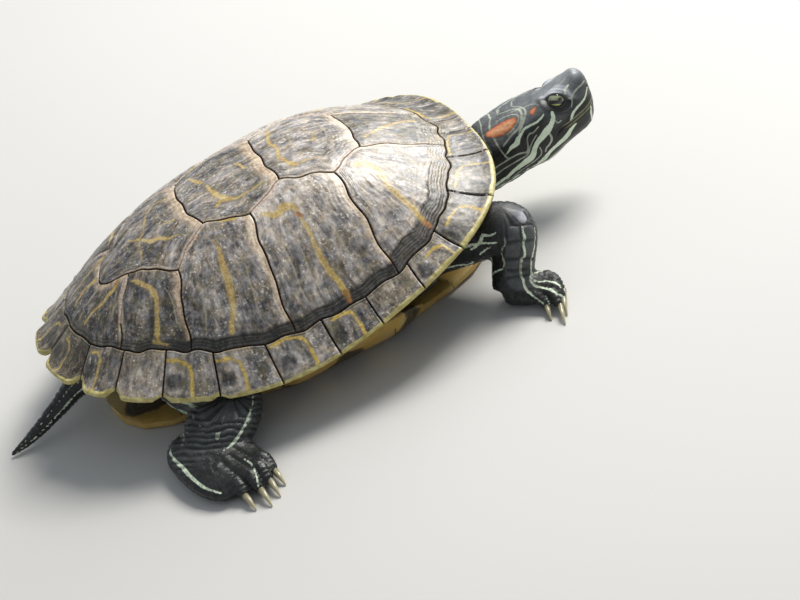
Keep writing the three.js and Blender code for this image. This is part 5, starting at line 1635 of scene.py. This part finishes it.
# Seams between the broad plates of the right forearm: three across, two short ones at the wrist, two along.
FORE_SEAMS = [
    [(94.8, -74.1, 37.6), (99.3, -75.7, 35.9), (102.6, -74.9, 34.3), (106.1, -72.5, 31.1)],
    [(89.5, -74.5, 31), (91, -76.5, 31.4), (93.9, -78, 31.5), (96.3, -78.4, 30.7), (99.3, -78.2, 28.9),
     (102.6, -76.4, 26.8), (104.5, -73.5, 25)],
    [(84.3, -69, 22), (87.3, -75.4, 23.7), (92.9, -78.9, 22.7), (97.9, -78, 19), (100, -75, 17.6)],
    [(86.6, -77.6, 19.4), (90.5, -79.5, 17.9), (94.5, -79.2, 15.5)],
    [(83.7, -77.9, 16.4), (90.5, -79.9, 14.9), (94.7, -78.8, 11.9)],
    [(93.2, -74, 37.2), (90.4, -76, 32.2), (88.8, -75.1, 30.6), (86.6, -74.2, 23.7)],
    [(98.8, -76.2, 35.2), (96.6, -78.3, 30.5), (96.4, -78.5, 28.8), (93.4, -78.9, 22.4), (90.4, -79.8, 15.5)],
]
FORE_MIDDLE = [(98.5, -75, 36), (96.4, -77.5, 28.8), (93.4, -78, 21), (91, -78.5, 14)]
ELBOW_PLATES = [((99.2, -70.4, 40.6), 2.3), ((102.2, -72.6, 37.7), 3.2), ((105.2, -69.4, 37), 2.5)]
FOLD_STEP = 2.6
ELBOW_TONES = (1.05, 0.95, 0.4)  # how light each of the elbow's plates is
# Folds across at the elbow and the knee and in the skin towards the shell: middle, reach, step, depth.
SLACK_FOLDS = [
    ((92, -62, 27), 12, 2.6, 0.5), ((74, -44, 25), 14, 3.4, 0.7), ((-50, -52, 20), 18, 3.2, 0.6),
    ((-64, -74, 12), 12, 2.4, 0.45),
]
TOE_RING, TAIL_RING = 2.1, 2.4  # steps of the rings across the toes and the tail
HAND_CLEFT_BACK, FOOT_CLEFT_BACK = 0.2, 1.1  # how far the clefts run back over the hand and the foot
# The folds of the right hind leg lie square to this.
WRINKLE_ACROSS = unit(np.array((0.98, 0.93, 1.7)))


def forearm_plates(own, normals):
    """Distance to the nearest seam of the forearm's plates, in mm, and where there are plates."""
    seam = -painted(own, [(curve(line, 3), 0.0) for line in FORE_SEAMS], normals)
    middle, _ = line_distance(own, curve(FORE_MIDDLE, 3))
    return seam + 0.25 * noise(own, 2.4, 36), smooth((8 - middle) / 1.6)


FORE_STRIPES = [
    ([(100, -75.4, 35.2), (98.9, -77.1, 33), (98.5, -78.2, 30.3), (96.9, -78.5, 28.5), (96.5, -78.7, 25),
      (95.6, -78.8, 22.7), (93.3, -79, 21.2), (91.8, -79.4, 17.8), (90.9, -79.8, 15), (90.7, -80.3, 11.7),
      (89.9, -84.2, 10.3), (90.9, -89.3, 7.8), (92.9, -93.8, 5.2)], 0.7, 1.2, 1.0, 1.2, 1.2, 1.2, 0.8),
    ([(105.2, -74.3, 30.6), (103.5, -75.9, 26.7), (101.5, -76.7, 23.1), (99, -77.5, 19.8),
      (97.1, -78.1, 16.6), (95.3, -78.1, 11.9), (93.8, -81.9, 11.5), (94.2, -85.4, 10.6), (96.6, -88.2, 9.4),
      (98.3, -91.6, 9), (99.6, -94.5, 8.1), (101.4, -95.4, 5.7), (100.8, -98.5, 4.2)],
     0.7, 1.0, 1.1, 1.2, 1.3, 1.2, 0.8),
    ([(94.8, -81, 11.8), (96.5, -84.2, 10.9), (99.7, -85.5, 10.1), (101.6, -88.8, 9.5), (103.3, -92.8, 8)],
     0.9, 1.3, 0.7),
    ([(95.7, -79, 11.8), (99, -77.9, 11.3), (103.4, -77.2, 9.4), (104.9, -80.8, 9.1)], 0.8, 1.0, 0.6),
    ([(95.3, -91.8, 6.9), (95.1, -94.1, 5), (94.3, -96.4, 2.9)], 1.0, 0.8),
    ([(80.8, -69.5, 15.5), (82.9, -73.5, 18.7), (84.9, -75.7, 19.7)], 0.8, 1.0, 0.6),
    ([(88.2, -72.1, 36.1), (85.7, -70.3, 35), (83.4, -67.8, 35.3), (82.4, -67.4, 33.5), (79.7, -65.9, 30.4),
      (77.1, -63.9, 28.9)], 0.6, 1.3, 1.5, 1.0),
    ([(84.5, -71, 29.7), (82.4, -68.7, 28.4), (80, -65.5, 25.5)], 0.6, 1.0, 0.8),
    ([(66, -52, 18.5), (69.4, -55, 18.9), (75.9, -58.4, 18.9), (77, -60, 21.5)], 1.2, 2.0, 0.8),
]
FORE_LINES = [
    ([(90.9, -74.8, 33.8), (90, -76, 31.1), (88.3, -74.9, 28.9), (87.2, -74.2, 25.4), (86.6, -75.7, 22),
      (84.7, -75.4, 19.6)], 0.4, 0.9, 0.5, 0.9, 0.4),
]
HIND_STRIPES = [
    ([(-82.1, -70.9, 12.4), (-82.7, -77.7, 11.6), (-81.3, -86.3, 10.9), (-80.4, -92.4, 9.7),
      (-79.2, -97.7, 8.8), (-77.5, -103, 7.8), (-75.3, -107.1, 7.2), (-72.5, -110.9, 6.3)],
     0.8, 1.4, 1.8, 1.5, 1.3, 1.0, 0.8),
    ([(-56.6, -101.1, 9.9), (-55.1, -107.7, 9.9), (-55.9, -114.3, 8.8), (-57.5, -118.9, 6.1)], 0.5, 1.0, 0.7),
    ([(-66, -60, 16), (-72, -68, 14), (-74, -76, 13.4)], 0.6, 1.2, 0.6),
]
QUIET_MIDDLE, QUIET_RADIUS = (92, -78, 26), 24  # no dots on the forearm
NO_DOT = -3.0


# Further stripes run along the limbs and the tail: angles round them in degrees.
ARM_STRIPES, THIGH_STRIPES, SHANK_STRIPES = (20, 160), (140, 170, 200, 230, 320), (150, 190, 330)
TAIL_STRIPES = [(270, 1.5), (225, 0.8), (315, 0.8), (180, 1.0), (0, 1.0), (135, 0.7), (45, 0.7)]  # and widths


def limb_marks():
    """The stripes of the fore limb, of the hind limb and of the tail."""
    fore, hind = curved(FORE_STRIPES), curved(HIND_STRIPES)
    for degrees in ARM_STRIPES:
        fore.append((tube_line(UPPER_ARM, UPPER_ARM_WIDE, degrees, 0.05, 0.7), 1.0, 1.5, 0.7))
        fore.append((tube_line(FOREARM, FOREARM_WIDE, 0.7 * degrees + 40, 0.3, 0.95), 0.6, 1.2, 0.8))
    for degrees in THIGH_STRIPES:
        hind.append((tube_line(THIGH, THIGH_WIDE, degrees, 0.1, 0.9), 0.8, 1.5, 0.8))
    for degrees in SHANK_STRIPES:
        hind.append((tube_line(SHANK, SHANK_WIDE, degrees, 0.3, 0.95), 0.8, 1.3, 0.7))
    tail = [(tube_line(TAIL_PATH, (0, 1, 0), degrees, 0.15, 0.98, 14), width * 1.4, width, width * 0.6)
            for degrees, width in TAIL_STRIPES]
    return fore, hind, tail


def elbow_plates(own, normals):
    """Distance outside the nearest of the elbow's round plates, in mm, which one it is, and how much nearer
    it is than the next."""
    gaps = [np.linalg.norm(flattened(own - centre, normals), axis=1) - radius
            for centre, radius in ELBOW_PLATES]
    near, following = np.sort(gaps, axis=0)[:2]
    return near, np.argmin(gaps, axis=0), following - near


def hind_folds(own, hind):
    """How deep a point lies in one of the folds across the hind leg, and how far the leg has folds there."""
    along_leg = own @ WRINKLE_ACROSS + 2.2 * noise(own, 11, 37) + 0.6 * noise(own, 4, 38)
    folded = hind * smooth((own[:, 2] - 6) / 4) * fade(-own[:, 1] - 86, 8)
    return lines_every(along_leg, FOLD_STEP, 0.9), folded


def toe_clefts(own, toes, back):
    """1 midway between two toes' lines, carried back over the hand or foot by a share of the first joint."""
    gaps = []
    for toe in toes:
        line = np.array(toe[:3], float)
        line = np.vstack([line[0] - back * (line[1] - line[0]), line])
        gaps.append(line_distance(own, line)[0])
    near, following = np.sort(gaps, axis=0)[:2]
    return fade(following - near, 1.5) * fade(near - 5, 3)


class BodySkin:
    """What both the relief and the colours of the limbs and the tail go by, at each of their points."""

    def __init__(self, points, normals):
        self.own = own = right_side(points)
        self.normals = normals * np.where(points[:, 1:2] > 0, (1, -1, 1), 1)
        self.fore, self.tail = points[:, 0] > 20, points[:, 0] < -84
        self.hind = ~self.fore & ~self.tail
        first, second, _ = scales(own, 2.5, 31)
        self.scale_gap = second - first
        self.seam, plated = forearm_plates(own, self.normals)
        self.plated = plated * self.fore
        self.elbow, self.elbow_plate, apart = elbow_plates(own, self.normals)
        self.split = fade(apart, 0.9) * fade(self.elbow)
        self.fold, self.folded = hind_folds(own, self.hind)
        self.hand_cleft = toe_clefts(own, HAND_TOES, HAND_CLEFT_BACK) * self.fore
        self.foot_cleft = toe_clefts(own, FOOT_TOES, FOOT_CLEFT_BACK) * self.hind


def plates_and_folds(at):
    """Relief in mm: scales, the forearm's and the elbow's plates, folds of the hind leg and at the joints."""
    lift = -0.85 * fade(at.seam) * at.plated
    lift -= 0.6 * np.maximum(hump(at.elbow, 0, 0.6), at.split) * at.fore
    lift -= 0.34 * fade(at.scale_gap, 0.3) * smooth(at.elbow) * (1 - at.plated)
    lift = lift * (1 - 0.6 * at.folded) - 0.8 * at.fold * at.folded
    for place, reach, size, depth in SLACK_FOLDS:
        away = np.linalg.norm(at.own - place, axis=1)
        fold = 0.5 + 0.5 * np.sin(2 * np.pi * away / size + 2 * noise(at.own, 8, 34))
        lift -= depth * fold * fade(away - reach * 0.4, reach)
    return lift


def with_toe_rings(lift, at):
    """The relief, with rings across the toes in place of what lies there."""
    for toes, limb in ((HAND_TOES, at.fore), (FOOT_TOES, ~at.fore)):
        for toe in toes:
            line = np.array(toe[:3], float)
            away, place = line_distance(at.own, line)
            length = np.linalg.norm(np.diff(line, axis=0), axis=1).sum()
            on = limb * fade(away - 3.8, 1.2) * smooth((place - 0.1) / 0.2) * (at.own[:, 2] > 2.5)
            lift = lift * (1 - 0.7 * on) - 0.5 * lines_every(place * length, TOE_RING, 0.6) * on
    return lift


def body_relief(points, normals):
    """The points of limbs and tail with their scales, plates, folds and rings."""
    at = BodySkin(points, normals)
    lift = with_toe_rings(plates_and_folds(at), at)
    lift -= smooth((at.own[:, 2] - 2) / 2) * (0.9 * at.foot_cleft + 0.6 * at.hand_cleft)
    lift -= 0.2 * at.tail * lines_every(points[:, 0], TAIL_RING, 0.7)
    inside = smooth((0.80 - rim_share(points)[1]) / 0.1)
    lift = lift * (1 - 0.7 * inside) + 0.1 * noise(points, 2.2, 35)
    moved = points + normals * lift[:, None]
    moved[:, 2] = np.maximum(moved[:, 2], 0.0)
    return moved


def body_stripes(points, at):
    """Distance inside the nearest stripe of the limbs or the tail."""
    fore, hind, tail = limb_marks()
    stripe = np.where(at.fore, painted(at.own, fore, at.normals), painted(at.own, hind, at.normals))
    return np.where(at.tail, painted(points, tail), stripe) + 0.12 * noise(points, 2.6, 41)


def body_dots(points, at):
    """Distance inside the nearest pale dot of a limb, or thin line of the forearm."""
    first, _, dot = scales(at.own + noise(at.own, 2.5, 44)[:, None], 3.1, 42)
    dots = np.where(dot > 0.78, 0.32 * (dot - 0.6) / 0.3 - first, -1.0) * 2.6
    quiet = np.linalg.norm(at.own - QUIET_MIDDLE, axis=1) < QUIET_RADIUS
    dots = np.where(quiet | (at.own[:, 2] < 14), NO_DOT, dots)
    lines = painted(at.own, curved(FORE_LINES), at.normals) + 0.3 * noise(points, 1.8, 43)
    return np.maximum(dots, np.where(at.fore, lines, NO_DOT))


def body_lines_and_shade(at, elbow):
    """How dark the lines between scales and plates are, and the painted shade in the hind leg's folds and
    between the toes.
    """
    between_scales = 0.6 * fade(at.scale_gap, 0.26) * (1 - at.plated)
    crease = np.maximum(fade(at.seam - 0.3, 0.7) * at.plated, between_scales)
    round_elbow = at.fore * np.maximum(hump(at.elbow, 0, 0.45), at.split)
    crease = np.maximum(crease * fade(elbow * 4), round_elbow)
    # painted shade in the hind leg's folds
    crease = np.maximum(crease * (1 - 0.6 * at.folded), 0.8 * at.fold * at.folded)
    # painted shade in the clefts between the toes
    clefts = np.where(at.fore, at.hand_cleft, at.foot_cleft)
    return np.maximum(crease, 0.8 * clefts * smooth((at.own[:, 2] - 2) / 2))


def body_fields(points, normals):
    """The fields that the skin's material reads, for the limbs, the tail and the trunk."""
    at = BodySkin(points, normals)
    elbow = at.fore * fade(at.elbow / 0.5 + 0.6) * (1 - at.split)
    dots = body_dots(points, at)
    tone = 0.08 + np.array(ELBOW_TONES)[at.elbow_plate] * elbow + 0.26 * at.plated
    nothing = np.zeros(len(points))
    return {
        "stripe": body_stripes(points, at),
        "thin": dots, "across": nothing, "half": dots,
        "red": nothing + UNPAINTED,
        # the folds' ridges lighter: painted highlight
        "tone": tone + 0.22 * (1 - at.fold) * at.folded,
        "gape": nothing + FAR_FROM_MOUTH,
        "beak": nothing,
        "wet": smooth(-points[:, 0] / 30),
        "crease": body_lines_and_shade(at, elbow),
        "grain": 1 - 0.8 * np.maximum(at.plated, elbow),
    }


# Colours of the skin, from dark to light.
SKIN_DARK = ((0.3, 0x0B0C0A), (0.55, 0x151714), (0.8, 0x272A26))
SKIN_LIGHT = ((0.3, 0x53575A), (0.55, 0x75797C), (0.8, 0x97999A))
# The palest skin: painted highlight on the brows, and the palest of the elbow's plates.
SKIN_PALEST_HIGHLIGHT = 0xC6C8D0
LINE_GREEN = ((0.3, 0x8A9384), (0.7, 0xDDE2CE))
STRIPE_GREEN = ((0.3, 0xD0E4C4), (0.7, 0xF2FCE6))
BEAK_OLIVE = ((0.3, 0x66674A), (0.7, 0x96956A))
RED_HALO = 0x6E5A4C
RED_ORANGE = ((0.1, 0x984F38), (0.4, 0xCF8056), (0.8, 0xE4A87E))
# Dark lines between scales and plates, with painted shade in folds, toe clefts and the nostril; then the
# painted shade in the closed mouth's slit.
LINE_AND_SHADE_BLACK, MOUTH_SLIT_SHADE = 0x0A0A08, 0x090907
GRAIN_PER_M = 1150.0


def skin_lines(m, base, cloud, jitter):
    """The thin pale lines and the broad stripes."""
    line = m.math("SUBTRACT", m.field("half"), m.math("ABSOLUTE", m.field("across")))
    line = m.math("MINIMUM", line, m.plus(m.field("thin"), 0.12))
    thin = m.step(m.times(jitter, 0.5, line), -0.2, 0.14, 0.0, 0.75)
    base = m.mix(thin, base, m.ramp(cloud, *LINE_GREEN))
    stripe = m.step(m.plus(m.field("stripe"), jitter), -0.15, 0.15, 0.0, 0.95)
    return m.mix(stripe, base, m.ramp(m.noise(3, 3.0), *STRIPE_GREEN))


def skin_red(m, base, jitter):
    """The red patch behind the eye, with its brown border."""
    red = m.plus(m.field("red"), m.times(jitter, 1.2))
    base = m.mix(m.step(red, -0.7, -0.2, 0.0, 0.45), base, RED_HALO)
    inner = m.times(red, 0.3, m.times(m.noise(1.6, 3.0), 0.25))
    return m.mix(m.step(red, -0.05, 0.5), base, m.ramp(inner, *RED_ORANGE))


def skin_material():
    m = Recipe("skin", Specular_IOR_Level=0.35, Coat_Weight=0.1, Coat_Roughness=0.2)
    tone, gape = m.field("tone"), m.field("gape")
    cloud, fine = m.noise(5, 4.0), m.noise(0.7, 3.0)
    jitter = m.times(m.noise(0.9, 3.0), 0.5, -0.25)
    dark = m.ramp(m.times(fine, 0.4, m.times(cloud, 0.7)), *SKIN_DARK)
    light = m.ramp(m.times(fine, 0.5, m.times(cloud, 0.6)), *SKIN_LIGHT)
    # tone: on the head partly painted sheen from above and painted shade at the lids, on the hind leg painted
    # highlight on the folds' ridges
    base = m.mix(m.math("MINIMUM", tone, 1.0), dark, light)
    # painted highlight on the brows
    base = m.mix(m.step(tone, 1.0, 1.45, 0.0, 0.85), base, SKIN_PALEST_HIGHLIGHT)
    base = skin_lines(m, base, cloud, jitter)
    beak = m.times(m.times(m.step(gape, 1.5, 1.0), m.field("beak")), 0.8)
    base = m.mix(beak, base, m.ramp(m.noise(2.2, 3.0), *BEAK_OLIVE))
    base = skin_red(m, base, jitter)
    # dark lines between scales and plates, and painted shade in folds, toe clefts and the nostril
    base = m.mix(m.times(m.field("crease"), 0.75), base, LINE_AND_SHADE_BLACK)
    # painted shade in the slit of the closed mouth
    base = m.mix(m.step(gape, 0.6, 0.3, 0.0, 0.95), base, MOUTH_SLIT_SHADE)
    rough = m.times(m.field("wet"), -0.14, m.step(cloud, 0.2, 0.8, 0.38, 0.54))
    grain = m.make("TexVoronoi", {"Vector": m.place, "Scale": GRAIN_PER_M}, feature="DISTANCE_TO_EDGE")
    cells = m.times(m.step(grain.outputs[0], 0.0, 0.25), m.field("grain"))
    return m.finish(base, rough, m.times(cells, 0.8, m.times(fine, 0.3)), 0.35)


def united(whole, others):
    """Points and faces of the union of scratch objects, which are then removed."""
    for other in others:
        union = whole.modifiers.new("join", "BOOLEAN")
        union.operation = "UNION"
        union.solver = "MANIFOLD"
        union.object = other
    points, faces = evaluated(whole)
    for other in others:
        bpy.data.objects.remove(other)
    return points, faces


def formed(points, faces, relief=None):
    """A scratch object of a closed body, with its relief."""
    faces = outward(points, faces)
    if relief:
        points = relief(points, vertex_normals(points, faces))
    return scratch_object(points, faces)


def build_skin(material):
    head = formed(*ring_mesh(head_rings()), head_relief)
    body = formed(*fused_body(), body_relief)
    roof = formed(*ring_mesh(trunk_rings()[1]))
    points, faces = united(body, [head, roof])
    q = in_head(points)
    # the head's and the neck's own points, as far as the neck shows
    on_head = (q[:, 0] > -45) & (np.hypot(q[:, 1], q[:, 2]) < 24) & (points[:, 0] > 76)
    of_head, of_body = head_fields(points), body_fields(points, vertex_normals(points, faces))
    fields = {key: np.where(on_head, of_head[key], of_body[key]) for key in of_head}
    parts = ("upper_arm", "forearm", "hand", "thigh", "shank", "foot")
    nodes = ["trunk", "neck", "head", "jaw", "tail"]
    nodes += [f"{part}_{letter}" for letter in SIDES for part in parts]
    make_piece("skin", points, faces, material, nodes, fields)


def claw_material():
    m = Recipe("claw_horn", Specular_IOR_Level=0.5, Coat_Weight=0.3, Coat_Roughness=0.15)
    out = m.times(m.noise(1.5, 2.0), 0.3, m.field("out"))
    base = m.mix(m.step(out, 0.2, 0.95), 0x3A372B, 0xB0A887)
    return m.finish(base, 0.32, m.noise(0.6, 3.0), 0.2)


def build_claws(material):
    """The claws of each hand and foot as one piece."""
    limbs = (
        ("hand", HAND_TOES, HAND_CLAW_WIDTH, SHOULDER, FORE_SWING),
        ("foot", FOOT_TOES, FOOT_CLAW_WIDTH, HIP, HIND_SWING),
    )
    for (letter, side), (part, toes, width, root, swing) in itertools.product(SIDES.items(), limbs):
        rings = [placed(claw_rings(toe, width), side, root, swing) for toe in toes]
        points, faces = joined([ring_mesh(r) for r in rings])
        points[:, 2] = np.maximum(points[:, 2], CLAW_CLEARANCE)
        out = [np.append(np.repeat(np.linspace(0, 1, r.shape[0]), r.shape[1]), (0, 1)) for r in rings]
        name = f"{part}_{letter}"
        make_piece(f"claws_{name}", points, faces, material, [name], {"out": np.concatenate(out)})


IRIS = ((0.25, 0x8E9A78), (0.5, 0xA8AE93), (0.75, 0x7F8450))
# Of these colours, the second is the lower iris with a painted highlight, and the third the painted shadow of
# the upper lid on the eyeball.
LOWER_IRIS_AND_HIGHLIGHT, UPPER_LID_SHADOW, EYE_WHITE, EYE_BAR, PUPIL_BLACK = 0xB9BE5E, 0x24261A, 0x23241A, 0x0B0C07, 0x0A0B07
IRIS_MIDDLE, PUPIL_MIDDLE = (1.2, 0.4), (1.9, 0.35)  # along the slit, and up


def eye_material():
    m = Recipe("eyeball", Roughness=0.12, Specular_IOR_Level=0.4, Coat_Weight=1.0, Coat_Roughness=0.03)
    slit, rise = m.field("slit"), m.field("rise")
    fine = m.noise(0.45, 4.0)

    def away_from(x, y):
        dx, dy = m.plus(slit, -x), m.plus(rise, -y)
        return m.math("SQRT", m.plus(m.times(dx, dx), m.times(dy, dy)))

    centre, pupil = away_from(*IRIS_MIDDLE), away_from(*PUPIL_MIDDLE)
    base = m.ramp(m.times(centre, -0.1, m.times(fine, 0.5, 0.5)), *IRIS)
    # below the bar the iris turns yellow: partly its own colour, partly a painted highlight
    base = m.mix(m.step(m.plus(rise, m.times(fine, 0.3)), -1.55, -1.75), base, LOWER_IRIS_AND_HIGHLIGHT)
    # painted shadow of the upper lid across the top of the eyeball
    base = m.mix(m.step(rise, 1.5, 2.4), base, UPPER_LID_SHADOW)
    base = m.mix(m.step(centre, 5.2, 6.0), base, EYE_WHITE)
    bar = m.math("ABSOLUTE", m.plus(rise, m.times(fine, 0.3, 0.8)))
    base = m.mix(m.step(bar, 0.95, 0.66), base, EYE_BAR)
    base = m.mix(m.step(m.times(fine, 0.4, pupil), 1.55, 0.95, 0.0, 0.9), base, PUPIL_BLACK)
    return m.finish(base, 0.12, fine, 0.0)


def eyeball_rings():
    """Rings of the left eyeball about its middle, a little inside the CAD one, the cornea standing out."""
    polar = np.linspace(0, np.pi, 49)[1:-1]
    p, q = np.meshgrid(polar, np.linspace(0, 2 * np.pi, 72, endpoint=False), indexing="ij")
    axis = unit(EYE_AXIS + 0.42 * EYE_SLIT + 0.2 * EYE_RISE)
    first = unit(np.cross(axis, (0, 0, 1)))
    second = np.cross(first, axis)
    ring = first * np.cos(q)[..., None] + second * np.sin(q)[..., None]
    away = axis * np.cos(p)[..., None] + np.sin(p)[..., None] * ring
    return away * (EYE_RADIUS - 0.15 + 0.22 * fade(p, 0.75))[..., None]


def build_eyes(material):
    for letter, side in SIDES.items():
        points, faces = ring_mesh(eyeball_rings())
        fields = {"slit": points @ EYE_SLIT, "rise": points @ EYE_RISE}
        points = out_of_head((points + EYE_CENTRE) * (1, side, 1))
        faces = outward(points, faces)
        make_piece(f"eyeball_{letter}", points, faces, material, [f"eye_{letter}"], fields)


build_shell(shell_material(), plastron_material())
build_skin(skin_material())
build_claws(claw_material())
build_eyes(eye_material())

# ---------------------------------------------------------------- camera, floor and light
CAMERA_AT = Vector((-140.4, -1063.6, 669.2)) * MM
CAMERA_RIGHT = (0.8807, -0.3584, -0.3097)
CAMERA_DOWN = (-0.4496, -0.4271, -0.7845)
CAMERA_FORWARD = (0.1489, 0.8301, -0.5373)
LENS = 121.956
FLOOR_HALF = 4.0  # in m, as are the lamps' distances and sizes
SKY_COLOUR, SKY_STRENGTH = (0.80, 0.86, 0.93, 1), 0.42
AIMED_AT = Vector((0, 0, 40)) * MM


def add_camera():
    camera = bpy.data.objects.new("camera", bpy.data.cameras.new("camera"))
    bpy.context.scene.collection.objects.link(camera)
    camera.data.lens = LENS
    camera.data.clip_end = 50
    axes = [Vector(CAMERA_RIGHT), -Vector(CAMERA_DOWN), -Vector(CAMERA_FORWARD)]
    camera.matrix_world = Matrix.Translation(CAMERA_AT) @ Matrix(axes).transposed().to_4x4()
    bpy.context.scene.camera = camera


def add_floor(material):
    mesh = bpy.data.meshes.new("floor")
    corners = [(x * FLOOR_HALF, y * FLOOR_HALF, 0) for x, y in ((-1, -1), (1, -1), (1, 1), (-1, 1))]
    mesh.from_pydata(corners, [], [(0, 1, 2, 3)])
    mesh.materials.append(material)
    floor = bpy.data.objects.new("floor", mesh)
    bpy.context.scene.collection.objects.link(floor)


def add_lamp(name, toward, distance, size, power, colour):
    """A square soft light that shines on the model from a direction."""
    lamp = bpy.data.objects.new(name, bpy.data.lights.new(name, "AREA"))
    bpy.context.scene.collection.objects.link(lamp)
    lamp.data.size = size
    lamp.data.energy = power
    lamp.data.color = colour
    direction = Vector(toward).normalized()
    lamp.location = direction * distance + AIMED_AT
    lamp.rotation_euler = direction.to_track_quat("Z", "Y").to_euler()


def add_world():
    world = bpy.data.worlds.new("studio")
    bpy.context.scene.world = world
    world.use_nodes = True
    background = world.node_tree.nodes["Background"]
    background.inputs[0].default_value = SKY_COLOUR
    background.inputs[1].default_value = SKY_STRENGTH


add_camera()
add_floor(floor_material())
add_lamp("key", (0.62, 0.28, 0.8), 1.6, 0.75, 34, (1.0, 0.97, 0.92))
add_lamp("sheen", (0.69, 0.61, 0.375), 1.8, 0.9, 12, (0.92, 0.96, 1.0))
add_world()
bpy.context.scene.view_settings.view_transform = "Standard"
